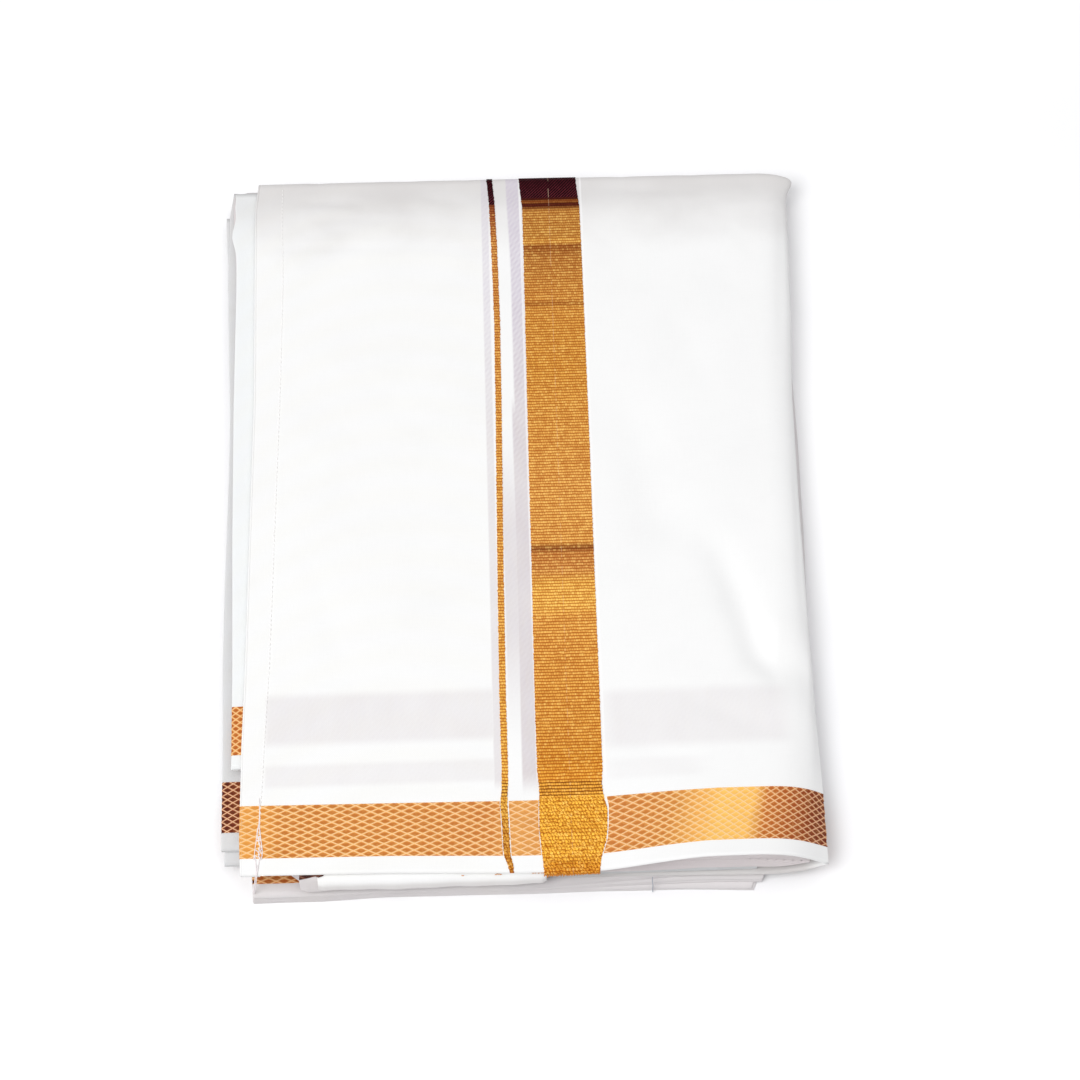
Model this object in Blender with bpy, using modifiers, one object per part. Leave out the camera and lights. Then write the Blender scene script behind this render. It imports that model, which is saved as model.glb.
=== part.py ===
"""Folded white cotton dhoti with woven gold borders, lying flat on a surface.

The cloth is folded lengthwise into four, then across into many short panels.
The outermost panel is the cover: it runs from its hemmed left edge over the
stack, round the fold at the right, and back underneath. At the back it rolls
over the lengthwise fold. Every other ply is worked out from the cover's
surface, moved inwards, or lies flat in the stack below it.

Sizes are in millimetres until a mesh is made. +X is right, +Y is back, +Z is up.
The origin is on the floor, under the middle of the stack.
"""

import math
from collections import namedtuple

import bpy
import numpy as np

MM = 0.001
COLLECTION = "folded_dhoti"

# Walls and the room between neighbouring plies
WALL = 1.0
GAP = 0.3
PLY_STEP = WALL + GAP

# Heights of the flat plies in the stack
BASE_TOP = 4.6
RETURN_Z = BASE_TOP + GAP
LOWER_PLY_Z = RETURN_Z + WALL + GAP
LEFT_PLY_WALL = 1.2
UPPER_PLY_Z = LOWER_PLY_Z + LEFT_PLY_WALL + GAP
CORE_Z = UPPER_PLY_Z + LEFT_PLY_WALL + GAP
COVER_Z = 17.0

# The front edge of the cover lifts in a flat arch towards the right fold
ARCH_START_X = 20.0
ARCH_CREST_X = 82.0
ARCH_RISE = 6.8
ARCH_FADE = 30.0
FRONT_Y = -167.5

# The cover slumps and rolls over at the back
SLUMP_START_Y = 146.0
SLUMP = 2.5
ROLL_SWEEP = math.radians(150)

# Stitched hem along the cover's left edge
HEM_CLEAR = 0.4
HEM_RAMP_START = 3.0
HEM_RAMP_END = 13.0

# The second ply shows left of the cover and stops short of its border
SECOND_FRONT_Y = -119.2
SECOND_RIGHT_X = 61.0
SECOND_CLEAR = 9.0
SECOND_RAMP = 8.0

# Left leaves, front ply and base
RETURN_LEFT_X = -110.0
LEAF_CORNER_BACK_Y = 166.5
UPPER_LEAF_BACK_Y = 162.5
LOWER_LEAF_BACK_Y = 158.0
LEAF_CORNER_END = 0.045
UPPER_LEAF_FRONT_Y = -151.8
LOWER_LEAF_FRONT_Y = -157.4
LOWER_LEAF_INSET = 1.2
LEAF_END_CLEAR = 3.0
LEAF_INNER_FRONT_Y = -165.6
LEAF_STEP_START = 0.06
LEAF_STEP_END = 0.22
FRONT_PLY_LEFT_X = -89.0
FRONT_PLY_RIGHT_X = 7.0
FRONT_PLY_SAG = 0.4

# Layered edges: plies that show, the groove between them, and the round nose in the fold
CORE_PLIES = 5
BASE_PLIES = 4
GROOVE = 0.8
FRONT_TUCK = 1.5
NOSE_PEAK = 27 / 4
LEFT_STRIP = 0.012

# Cover's outline, from its left edge to the fold at the right
LeftEdge = namedtuple("LeftEdge", "y cover_x hem_x second_x core_x leaf_x")
LEFT_EDGES = [
    LeftEdge(-167.0, -112.0, -105.0, -116.6, -110.0, -120.2),
    LeftEdge(-150.0, -112.7, -104.8, -116.7, -111.8, -120.4),
    LeftEdge(-124.0, -112.6, -103.9, -116.8, -115.7, -120.9),
    LeftEdge(-111.0, -112.6, -103.5, -116.8, -115.9, -121.2),
    LeftEdge(-78.0, -111.9, -102.1, -117.2, -116.2, -121.8),
    LeftEdge(-14.0, -111.3, -100.9, -118.6, -117.4, -121.5),
    LeftEdge(52.0, -110.6, -99.6, -119.5, -118.6, -121.7),
    LeftEdge(111.0, -111.4, -99.1, -119.6, -119.4, -123.4),
    LeftEdge(154.0, -111.9, -100.0, -120.4, -121.9, -125.4),
    LeftEdge(168.0, -110.9, -100.2, -120.4, -121.9, -123.8),
]

# Sections of the right fold: pointed at the front, round further back
Fold = namedtuple("Fold", "y tip_x tip_z top_x under_x slant nose_x")
FOLDS = [
    Fold(-168.0, 117.0, 11.0, 84.0, 92.0, 0.30, 116.5),
    Fold(-136.0, 117.1, 10.9, 92.0, 97.0, 0.22, 116.0),
    Fold(-100.0, 116.7, 10.7, 100.0, 103.0, 0.10, 115.5),
    Fold(-60.0, 116.8, 10.6, 104.0, 106.0, 0.0, 115.5),
    Fold(0.0, 117.1, 10.5, 105.0, 107.0, 0.0, 116.0),
    Fold(50.0, 117.9, 10.5, 105.5, 107.5, 0.0, 116.5),
    Fold(95.0, 120.4, 10.5, 107.0, 109.0, 0.0, 118.5),
    Fold(152.0, 122.3, 10.6, 109.0, 111.0, 0.0, 118.5),
    Fold(156.0, 123.0, 10.8, 109.5, 111.5, 0.0, 116.0),
    Fold(161.0, 125.4, 11.0, 110.0, 111.0, 0.0, 112.0),
    Fold(168.0, 125.4, 11.0, 110.0, 111.0, 0.0, 112.0),
]
FOLD_REACH = 0.58
FOLD_DROP = 0.56

# Front edge of the cover along its path: 0 to 1 top, 1 to 3 fold, 3 to 4 return
FrontEdge = namedtuple("FrontEdge", "path y")
FRONT_EDGES = [
    FrontEdge(0.0, -166.3),
    FrontEdge(0.3, -167.1),
    FrontEdge(0.55, -168.8),
    FrontEdge(0.7, -168.2),
    FrontEdge(1.0, -167.8),
    FrontEdge(2.0, -167.2),
    FrontEdge(3.0, -168.2),
    FrontEdge(3.35, -166.0),
    FrontEdge(3.75, -164.5),
    FrontEdge(3.9, -157.5),
    FrontEdge(4.0, -155.0),
]

# Roll over the back fold, by place along the cover's path
Roll = namedtuple("Roll", "path centre_y radius slump")
ROLLS = [
    Roll(0.0, 165.7, 4.0, 1.0),
    Roll(1.0, 163.0, 4.0, 1.0),
    Roll(1.5, 162.2, 2.8, 0.5),
    Roll(2.0, 161.8, 1.4, 0.0),
    Roll(3.0, 161.6, 1.4, 0.0),
    Roll(4.0, 161.6, 1.4, 0.0),
]

# Soft troughs pressed into the cover: where they run, how deep and how wide
Trough = namedtuple("Trough", "x y depth width")
CRESCENT = [
    Trough(72.0, -18.0, 0.0, 7.0),
    Trough(83.0, -30.0, 0.7, 7.0),
    Trough(90.0, -52.0, 1.2, 7.0),
    Trough(96.0, -76.0, 1.4, 7.0),
    Trough(106.0, -88.0, 1.0, 6.0),
    Trough(116.0, -90.0, 0.5, 6.0),
]
LONG_DIP = [
    Trough(44.0, 60.0, 0.0, 12.0),
    Trough(50.0, 36.0, 0.5, 12.0),
    Trough(58.0, -8.0, 0.7, 12.0),
    Trough(70.0, -28.0, 0.0, 12.0),
]

# Outline of the base stack, from front to back
BaseEdge = namedtuple("BaseEdge", "y left_x right_x")
BASE_EDGES = [
    BaseEdge(-172.2, -108.2, 88.0),
    BaseEdge(-159.0, -109.0, 93.5),
    BaseEdge(-150.0, -116.0, 97.0),
    BaseEdge(-110.0, -116.5, 105.0),
    BaseEdge(-84.0, -116.5, 112.5),
    BaseEdge(-68.0, -116.5, 117.7),
    BaseEdge(-20.0, -117.0, 119.0),
    BaseEdge(50.0, -117.5, 119.9),
    BaseEdge(100.0, -118.0, 120.0),
    BaseEdge(172.0, -118.0, 118.0),
]

# The base stack's front edge wanders a little, by place across it
BaseFront = namedtuple("BaseFront", "share y")
BASE_FRONT = [
    BaseFront(0.0, -171.4),
    BaseFront(0.14, -171.9),
    BaseFront(0.3, -170.2),
    BaseFront(0.55, -170.6),
    BaseFront(0.72, -170.2),
    BaseFront(0.93, -172.2),
    BaseFront(1.0, -172.2),
]

# The front ply hangs over the stack's front, by height
Droop = namedtuple("Droop", "y z")
FRONT_PLY = [
    Droop(-166.0, COVER_Z - PLY_STEP),
    Droop(-168.7, 14.9),
    Droop(-170.0, 12.8),
    Droop(-170.4, 10.6),
    Droop(-170.9, 8.6),
    Droop(-172.0, 7.2),
]

# Stations shared by every ply that follows the cover
TOP_PATHS = [0.0, 0.035, 0.08, 0.15, 0.25, 0.35, 0.45, 0.54, 0.62, 0.7, 0.77, 0.84, 0.92, 1.0]
FOLD_STEPS = 6
RETURN_PATHS = [3.35, 3.75, 3.9, 4.0]
LEAF_SHARES = [0.0, 0.05, 0.1, 0.15, 0.22, 0.5, 0.8, 1.0]
LEAF_RUNS = [0.0, 0.12, 0.25, 0.4, 0.55, 0.7, 0.84, 0.96, 1.0]
FRONT_RUNS = [0.0, 0.04, 0.09, 0.125, 0.155, 0.2, 0.245, 0.29, 0.34, 0.4]
BACK_RUNS = [0.5, 0.62, 0.74, 0.86, 0.93, 0.965]
RUN_STATIONS = FRONT_RUNS + BACK_RUNS
ROLL_STATIONS = [1.0, 1.2, 1.4, 1.6, 1.8, 2.0]


def clear_scene():
    """Remove every object, so that the script can be run again."""
    for obj in list(bpy.data.objects):
        bpy.data.objects.remove(obj)


def smooth(value):
    """Ease from 0 to 1."""
    value = min(max(value, 0.0), 1.0)
    return value * value * (3 - 2 * value)


def mix(start, end, share):
    """A value part of the way from start to end."""
    return start + (end - start) * share


def read(rows, key, column, at):
    """Read a column of a table at a place between its rows."""
    keys = [getattr(row, key) for row in rows]
    values = [getattr(row, column) for row in rows]
    return float(np.interp(at, keys, values))


def trough_depth(rows, x, y):
    """Depth of a trough at a point, from its nearest stretch."""
    deepest = 0.0
    for first, second in zip(rows, rows[1:]):
        along = np.array([second.x - first.x, second.y - first.y])
        offset = np.array([x - first.x, y - first.y])
        share = float(np.clip(offset @ along / (along @ along), 0.0, 1.0))
        away = float(np.linalg.norm(offset - share * along))
        depth = mix(first.depth, second.depth, share)
        width = mix(first.width, second.width, share)
        deepest = max(deepest, depth * math.exp(-((away / width) ** 2)))
    return deepest


def cover_height(x, y):
    """Height of the cover's outer face over the stack."""
    crest = smooth((x - ARCH_START_X) / (ARCH_CREST_X - ARCH_START_X))
    arch = ARCH_RISE * crest * math.exp(-max(y - FRONT_Y, 0.0) / ARCH_FADE)
    return COVER_Z + arch - trough_depth(CRESCENT, x, y) - trough_depth(LONG_DIP, x, y)


def bezier(corners, share):
    """A point on the cubic curve through four control points."""
    weights = [
        (1 - share) ** 3,
        3 * share * (1 - share) ** 2,
        3 * share**2 * (1 - share),
        share**3,
    ]
    return sum(weight * np.array(corner) for weight, corner in zip(weights, corners))


def section_point(path, y):
    """Place (x, z) of the cover's outer face on its cross-section at y."""
    left_x = read(LEFT_EDGES, "y", "cover_x", y)
    tip_x = read(FOLDS, "y", "tip_x", y)
    tip_z = read(FOLDS, "y", "tip_z", y)
    top_x = read(FOLDS, "y", "top_x", y)
    under_x = read(FOLDS, "y", "under_x", y)
    slant = read(FOLDS, "y", "slant", y)
    if path <= 1:
        x = mix(left_x, top_x, path)
        return np.array([x, cover_height(x, y)])
    if path <= 2:
        top_z = cover_height(top_x, y)
        reach = tip_x - top_x
        drop = top_z - tip_z
        return bezier(
            [
                (top_x, top_z),
                (top_x + FOLD_REACH * reach, top_z),
                (tip_x - slant * reach, tip_z + FOLD_DROP * drop),
                (tip_x, tip_z),
            ],
            path - 1,
        )
    if path <= 3:
        reach = tip_x - under_x
        drop = tip_z - RETURN_Z
        return bezier(
            [
                (tip_x, tip_z),
                (tip_x - slant * reach, tip_z - FOLD_DROP * drop),
                (under_x + FOLD_REACH * reach, RETURN_Z),
                (under_x, RETURN_Z),
            ],
            path - 2,
        )
    return np.array([mix(under_x, RETURN_LEFT_X, path - 3), RETURN_Z])


def cover_surface(path, run):
    """Cover's outer face: path runs left to right and back, run 0 to 1 front to roll, 1 to 2 round it."""
    front_y = read(FRONT_EDGES, "path", "y", path)
    roll_y = read(ROLLS, "path", "centre_y", path)
    radius = read(ROLLS, "path", "radius", path)
    slump = read(ROLLS, "path", "slump", path) * SLUMP
    flat_y = mix(front_y, roll_y, min(run, 1.0))
    angle = ROLL_SWEEP * max(run - 1.0, 0.0)
    x, z = section_point(path, flat_y)
    nearby = 0.01
    before = section_point(max(path - nearby, -0.1), flat_y)
    after = section_point(min(path + nearby, 4.0), flat_y)
    along = (after - before) / np.linalg.norm(after - before)
    inward = np.array([along[1], -along[0]])
    depth = slump * smooth((flat_y - SLUMP_START_Y) / (roll_y - SLUMP_START_Y))
    depth += radius * (1 - math.cos(angle))
    x, z = np.array([x, z]) + inward * depth
    return np.array([x, flat_y + radius * math.sin(angle), z])


def cover_point(path, run, depth):
    """A point the given depth inside the cover's outer face."""
    step = 0.004
    along = cover_surface(min(path + step, 4.0), run) - cover_surface(path - step, run)
    across = cover_surface(path, run + step) - cover_surface(path, max(run - step, 0.0))
    normal = np.cross(along, across)
    return cover_surface(path, run) - normal / np.linalg.norm(normal) * depth


def path_at(x, y):
    """Place along the cover's path of a point on its top."""
    left_x = read(LEFT_EDGES, "y", "cover_x", y)
    return (x - left_x) / (read(FOLDS, "y", "top_x", y) - left_x)


def run_at(y, path):
    """Place from front to back of a point on the cover."""
    front_y = read(FRONT_EDGES, "path", "y", path)
    return (y - front_y) / (read(ROLLS, "path", "centre_y", path) - front_y)


def hem_room(x, y):
    """Share of a ply step that the hem takes under the cover."""
    past = x - read(LEFT_EDGES, "y", "hem_x", y)
    return 1 - smooth((past - HEM_RAMP_START) / (HEM_RAMP_END - HEM_RAMP_START))


def second_room(x, y):
    """Share of a ply step that the second ply takes under the cover."""
    past = max(SECOND_FRONT_Y - y, x - SECOND_RIGHT_X)
    return 1 - smooth((past - SECOND_CLEAR) / SECOND_RAMP)


def add_object(name, verts, faces, material, wall=None):
    """Make an object from points in millimetres, with a wall where it is one open face."""
    mesh = bpy.data.meshes.new(name)
    mesh.from_pydata([tuple(float(c) * MM for c in v) for v in verts], [], faces)
    mesh.materials.append(material)
    mesh.shade_smooth()
    mesh.set_sharp_from_angle(angle=math.radians(50))
    obj = bpy.data.objects.new(name, mesh)
    bpy.data.collections[COLLECTION].objects.link(obj)
    if wall:
        solidify = obj.modifiers.new("wall", "SOLIDIFY")
        solidify.thickness = wall * MM
        solidify.offset = -1
    return obj


def grid_faces(rows, columns, start=0, flip=False):
    """Quads over a grid of points, listed row by row."""
    faces = []
    for row in range(rows - 1):
        for column in range(columns - 1):
            first = start + row * columns + column
            quad = (first, first + 1, first + columns + 1, first + columns)
            faces.append(tuple(reversed(quad)) if flip else quad)
    return faces


def add_ply(name, grid, material, wall=WALL):
    """One ply: an open face of rows of points, with a wall inside it."""
    verts = [point for row in grid for point in row]
    return add_object(name, verts, grid_faces(len(grid), len(grid[0])), material, wall)


def rim_of(rows, columns):
    """Grid places round the edge, with the outward direction of each."""
    front = [(0, c, (0, -1)) for c in range(columns)]
    right = [(r, columns - 1, (1, 0)) for r in range(1, rows)]
    back = [(rows - 1, c, (0, 1)) for c in range(columns - 2, -1, -1)]
    left = [(r, 0, (-1, 0)) for r in range(rows - 2, 0, -1)]
    return front + right + back + left


def add_stack(name, lower, upper, plies, bulge, material):
    """A stack of plies as one solid: two grids joined by a grooved, rounded edge.

    bulge gives how far the edge stands out at a place, from its outward
    direction, the point above it and its share of the height.
    """
    rows, columns = len(lower), len(lower[0])
    verts = [point for row in lower for point in row]
    verts += [point for row in upper for point in row]
    size = rows * columns
    faces = grid_faces(rows, columns, 0, flip=True) + grid_faces(rows, columns, size)
    rim = rim_of(rows, columns)
    levels = 2 * plies
    rings = [[r * columns + c for r, c, _ in rim]]
    for level in range(1, levels):
        share = level / levels
        ring = []
        for r, c, outward in rim:
            low, high = np.array(lower[r][c]), np.array(upper[r][c])
            groove = GROOVE * min((high - low)[2] / (plies * PLY_STEP), 1.0) * (level % 2 == 0)
            push = bulge(outward, high, share) - groove
            ring.append(len(verts))
            verts.append(mix(low, high, share) + push * np.array([*outward, 0]))
        rings.append(ring)
    rings.append([size + r * columns + c for r, c, _ in rim])
    for below, above in zip(rings, rings[1:]):
        for i in range(len(rim)):
            j = (i + 1) % len(rim)
            faces.append((below[i], below[j], above[j], above[i]))
    return add_object(name, verts, faces, material)


def cover_paths():
    """Stations along the cover's whole path."""
    fold = [1 + step / FOLD_STEPS for step in range(1, 2 * FOLD_STEPS + 1)]
    return TOP_PATHS + fold + RETURN_PATHS


def add_cover(material):
    """The outermost panel, over the top, round the right fold and back under the stack."""
    runs = RUN_STATIONS + ROLL_STATIONS
    grid = [[cover_surface(path, run) for path in cover_paths()] for run in runs]
    return add_ply("cover", grid, material)


def add_hem(material):
    """The cover's left edge, turned under and stitched down."""
    grid = []
    for run in RUN_STATIONS + ROLL_STATIONS[:3]:
        y = cover_surface(0.0, run)[1]
        stitch = path_at(read(LEFT_EDGES, "y", "hem_x", y), y)
        start = path_at(read(LEFT_EDGES, "y", "cover_x", y) + HEM_CLEAR, y)
        grid.append([cover_point(path, run, PLY_STEP) for path in (start, (start + stitch) / 2, stitch)])
    return add_ply("hem", grid, material)


def add_second_ply(material):
    """The ply under the cover, which shows as a strip along its left edge."""
    inner = [path for path in TOP_PATHS if 0.02 < path < 0.8]
    front_run = run_at(SECOND_FRONT_Y, 0.5)
    runs = [front_run] + [run for run in RUN_STATIONS if run > front_run + 0.01] + ROLL_STATIONS[:4]
    grid = []
    for run in runs:
        y = mix(read(FRONT_EDGES, "path", "y", 0.5), read(ROLLS, "path", "centre_y", 0.5), min(run, 1.0))
        first = path_at(read(LEFT_EDGES, "y", "second_x", y), y)
        last = path_at(SECOND_RIGHT_X, y)
        row = []
        for path in [first, 0.0] + inner + [last]:
            x = cover_surface(path, min(run, 1.0))[0]
            row.append(cover_point(path, run, PLY_STEP * (1 + hem_room(x, y))))
        grid.append(row)
    return add_ply("second_ply", grid, material)


def leaf_grid(front_y, back_y, left_shift, z):
    """Flat ply low in the stack: its front edge steps back at the left, where it shows."""
    grid = []
    for run in LEAF_RUNS:
        line = []
        for share in LEAF_SHARES:
            step = smooth((share - LEAF_STEP_START) / (LEAF_STEP_END - LEAF_STEP_START))
            corner = 1 - smooth(share / LEAF_CORNER_END)
            first_y = mix(front_y, LEAF_INNER_FRONT_Y, step)
            last_y = mix(back_y, LEAF_CORNER_BACK_Y, corner)
            y = mix(first_y, last_y, run)
            left = read(LEFT_EDGES, "y", "leaf_x", y) + left_shift
            right = read(FOLDS, "y", "under_x", y) - LEAF_END_CLEAR
            line.append((mix(left, right, share), y, z))
        grid.append(line)
    return grid


def add_left_leaves(material):
    """Two plies that reach out at the left, each with its own front edge."""
    upper_z = UPPER_PLY_Z + LEFT_PLY_WALL
    lower_z = LOWER_PLY_Z + LEFT_PLY_WALL
    upper = leaf_grid(UPPER_LEAF_FRONT_Y, UPPER_LEAF_BACK_Y, 0.0, upper_z)
    lower = leaf_grid(LOWER_LEAF_FRONT_Y, LOWER_LEAF_BACK_Y, LOWER_LEAF_INSET, lower_z)
    add_ply("left_ply_upper", upper, material, LEFT_PLY_WALL)
    add_ply("left_ply_lower", lower, material, LEFT_PLY_WALL)


def add_inner_plies(material):
    """Plies hidden under the cover, as one stack with layered edges and a round nose."""
    nose_path = 1.35
    runs = [run_at(FRONT_Y + 3.5, 0.5)] + RUN_STATIONS[1:] + ROLL_STATIONS[:3]
    inner = [path for path in TOP_PATHS if path > 0.02] + [1.0 + 1 / FOLD_STEPS, nose_path]
    lower, upper = [], []
    for run in runs:
        y = mix(read(FRONT_EDGES, "path", "y", 0.5), read(ROLLS, "path", "centre_y", 0.5), min(run, 1.0))
        left_x = read(LEFT_EDGES, "y", "core_x", y)
        top_row = []
        left_path = path_at(left_x, y)
        for path in [left_path, max(left_path + LEFT_STRIP, 0.0)] + inner:
            x = cover_surface(path, min(run, 1.0))[0]
            layers = 1 + hem_room(x, y) + second_room(x, y)
            top_row.append(cover_point(path, run, PLY_STEP * layers))
        first, last = top_row[0], top_row[-1]
        nose_x = read(FOLDS, "y", "nose_x", y)
        under_right = mix(last[0], nose_x, 0.25)
        low_row = []
        low_y = y + FRONT_TUCK if run < 1 else y - FRONT_TUCK + (run - 1)
        for point in top_row:
            share = (point[0] - first[0]) / (last[0] - first[0])
            low_row.append((mix(first[0], under_right, share), low_y, CORE_Z))
        upper.append(top_row)
        lower.append(low_row)

    def bulge(outward, point, share):
        """Round the right side out into the fold, low down, and the others a little."""
        if outward != (1, 0):
            return 0.6 * math.sin(math.pi * share)
        reach = max(read(FOLDS, "y", "nose_x", point[1]) - point[0], 2.0)
        return 0.5 * reach * NOSE_PEAK * share * (1 - share) ** 2

    return add_stack("inner_plies", lower, upper, CORE_PLIES, bulge, material)


def add_base(material):
    """Plies at the bottom of the stack, with a flat underside."""
    stations = [row.y for row in BASE_EDGES]
    ys = sorted(stations + [135.0, 20.0])
    shares = [0.0, 0.03, 0.14, 0.3, 0.45, 0.6, 0.72, 0.86, 0.97, 1.0]
    tuck = 0.7
    lower, upper = [], []
    for y in ys:
        left = read(BASE_EDGES, "y", "left_x", y)
        right = read(BASE_EDGES, "y", "right_x", y)
        low_row, high_row = [], []
        for share in shares:
            x = mix(left + tuck, right - tuck, share)
            front_y = read(BASE_FRONT, "share", "y", share)
            inner_y = min(max(y, front_y) + tuck * (y == ys[0]), ys[-1] - tuck)
            low_row.append((x, inner_y, 0.0))
            high_row.append((x, inner_y, BASE_TOP))
        lower.append(low_row)
        upper.append(high_row)

    def bulge(outward, point, share):
        """Round every side of the stack alike."""
        return tuck * math.sin(math.pi * share)

    return add_stack("base_plies", lower, upper, BASE_PLIES, bulge, material)


def add_front_ply(material):
    """A ply that slips out under the cover's front edge and hangs over the stack."""
    columns = 15
    grid = []
    for row in reversed(FRONT_PLY):
        hang = (FRONT_PLY[0].z - row.z) / (FRONT_PLY[0].z - FRONT_PLY[-1].z)
        line = []
        for column in range(columns):
            share = column / (columns - 1)
            x = mix(FRONT_PLY_LEFT_X, FRONT_PLY_RIGHT_X, share)
            line.append((x, row.y, row.z - FRONT_PLY_SAG * hang * math.sin(math.pi * share)))
        grid.append(line)
    return add_ply("front_ply", grid, material)


def cloth_material(name, colour, roughness):
    """A plain cloth finish."""
    material = bpy.data.materials.new(name)
    material.use_nodes = True
    shader = material.node_tree.nodes["Principled BSDF"]
    shader.inputs["Base Color"].default_value = (*colour, 1.0)
    shader.inputs["Roughness"].default_value = roughness
    shader.inputs["Metallic"].default_value = 0.0
    return material


def main():
    """Build the folded cloth."""
    clear_scene()
    collection = bpy.data.collections.new(COLLECTION)
    bpy.context.scene.collection.children.link(collection)
    add_cover(cloth_material("cover_cotton", (0.90, 0.90, 0.89), 0.78))
    add_hem(cloth_material("hem_cotton", (0.88, 0.87, 0.85), 0.80))
    add_second_ply(cloth_material("second_cotton", (0.82, 0.83, 0.87), 0.80))
    add_left_leaves(cloth_material("leaf_cotton", (0.62, 0.62, 0.64), 0.82))
    add_inner_plies(cloth_material("inner_cotton", (0.60, 0.59, 0.60), 0.82))
    add_front_ply(cloth_material("front_cotton", (0.88, 0.87, 0.84), 0.80))
    add_base(cloth_material("base_cotton", (0.72, 0.72, 0.72), 0.82))


main()
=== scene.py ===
"""Folded white cotton dhoti with a woven gold border, a gold end band and a stitched hem.

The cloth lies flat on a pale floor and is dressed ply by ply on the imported
model, in the model's own frame: +X is right, +Y is back and +Z is up. Sizes
are in millimetres until a mesh is made. A place on the cover is given by its
path, 0 to 1 over the top from left to right, 1 to 3 round the right fold and
3 to 4 back under the stack, and by its run, 0 to 1 from the front edge to the
back and 1 to 2 round the roll there.
"""

import logging
import math
from dataclasses import dataclass, field
from enum import Enum
from typing import Any, Iterable, NamedTuple, Sequence

import bpy
import numpy as np
from mathutils import Matrix, Vector


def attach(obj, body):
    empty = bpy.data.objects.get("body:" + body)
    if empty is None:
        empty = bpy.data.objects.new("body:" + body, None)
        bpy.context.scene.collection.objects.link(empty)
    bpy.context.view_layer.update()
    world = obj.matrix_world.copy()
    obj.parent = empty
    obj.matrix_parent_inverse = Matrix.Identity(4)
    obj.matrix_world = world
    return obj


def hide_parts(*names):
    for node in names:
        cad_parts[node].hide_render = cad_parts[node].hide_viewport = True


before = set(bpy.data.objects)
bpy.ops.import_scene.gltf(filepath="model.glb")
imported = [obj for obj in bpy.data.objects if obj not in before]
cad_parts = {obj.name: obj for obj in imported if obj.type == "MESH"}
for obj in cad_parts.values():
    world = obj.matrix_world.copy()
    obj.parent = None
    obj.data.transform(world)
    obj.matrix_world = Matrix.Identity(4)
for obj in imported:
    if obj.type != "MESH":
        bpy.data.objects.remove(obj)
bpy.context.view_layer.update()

LOG = logging.getLogger("dhoti")
MM = 0.001
Colour = tuple[float, float, float, float]


class Slot(Enum):
    """The record's material slots."""

    WHITE = "white_cotton"
    SHADED = "shaded_cotton"
    GOLD = "gold_zari"
    THREAD = "white_thread"


# Sizes shared by the plies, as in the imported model
WALL = 1.0
GAP = 0.3
PLY_STEP = WALL + GAP
BASE_TOP = 4.6
RETURN_Z = BASE_TOP + GAP
LEAF_WALL = 1.2
LOWER_LEAF_TOP = RETURN_Z + WALL + GAP + LEAF_WALL
UPPER_LEAF_TOP = LOWER_LEAF_TOP + GAP + LEAF_WALL
CORE_Z = UPPER_LEAF_TOP + GAP
COVER_Z = 17.0
RETURN_LEFT_X = -110.0
COTTON_SHEET = 0.4
HEM_RADIUS = 0.62

# The cover's top is about this wide, and this long from the front edge to the roll
TOP_WIDTH = 200.0
TOP_LENGTH = 331.0

# The front edge of the cover lifts in a flat arch towards the right fold
ARCH_START_X = 23.0
ARCH_CREST_X = 74.0
ARCH_RISE = 6.8
ARCH_FADE = 30.0
FRONT_Y = -167.5

# The cover slumps and rolls over at the back
SLUMP_START_Y = 146.0
SLUMP = 2.5
ROLL_SWEEP = math.radians(150)

# The woven border, measured from the front edge of each ply
SELVEDGE = 7.2
BORDER = 22.7
LOZENGE_LONG = 6.0
LOZENGE_SHORT = 2.76

# Where the border is stretched a little wider, by the distance from the left edge
Swell = NamedTuple("Swell", [("along", float), ("share", float)])
BORDER_SWELL = [
    Swell(60.0, 0.0),
    Swell(116.0, 0.045),
    Swell(146.0, 0.08),
    Swell(180.0, 0.05),
    Swell(215.0, 0.035),
    Swell(240.0, 0.0),
]

# The end band's rows and stitches
ROW = 1.36
DASH = 1.05
WHEAT = 1.5
WHEAT_START = -3.0
WHEAT_END = 32.0
BOLD_END = 38.5

# The second ply stops short of the cover's border
SECOND_FRONT_Y = -119.2
SECOND_RIGHT_X = 61.0

LeftEdge = NamedTuple("LeftEdge", [(n, float) for n in "y cover_x hem_x second_x core_x leaf_x".split()])
LEFT_EDGES = [
    LeftEdge(-167.0, -112.0, -105.0, -116.6, -110.0, -120.2),
    LeftEdge(-150.0, -112.7, -104.8, -116.7, -111.8, -120.4),
    LeftEdge(-124.0, -112.6, -103.9, -116.8, -115.7, -120.9),
    LeftEdge(-111.0, -112.6, -103.5, -116.8, -115.9, -121.2),
    LeftEdge(-78.0, -111.9, -102.1, -117.2, -116.2, -121.8),
    LeftEdge(-14.0, -111.3, -100.9, -118.6, -117.4, -121.5),
    LeftEdge(52.0, -110.6, -99.6, -119.5, -118.6, -121.7),
    LeftEdge(111.0, -111.4, -99.1, -119.6, -119.4, -123.4),
    LeftEdge(154.0, -111.9, -100.0, -120.4, -121.9, -125.4),
    LeftEdge(168.0, -110.9, -100.2, -120.4, -121.9, -123.8),
]

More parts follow.
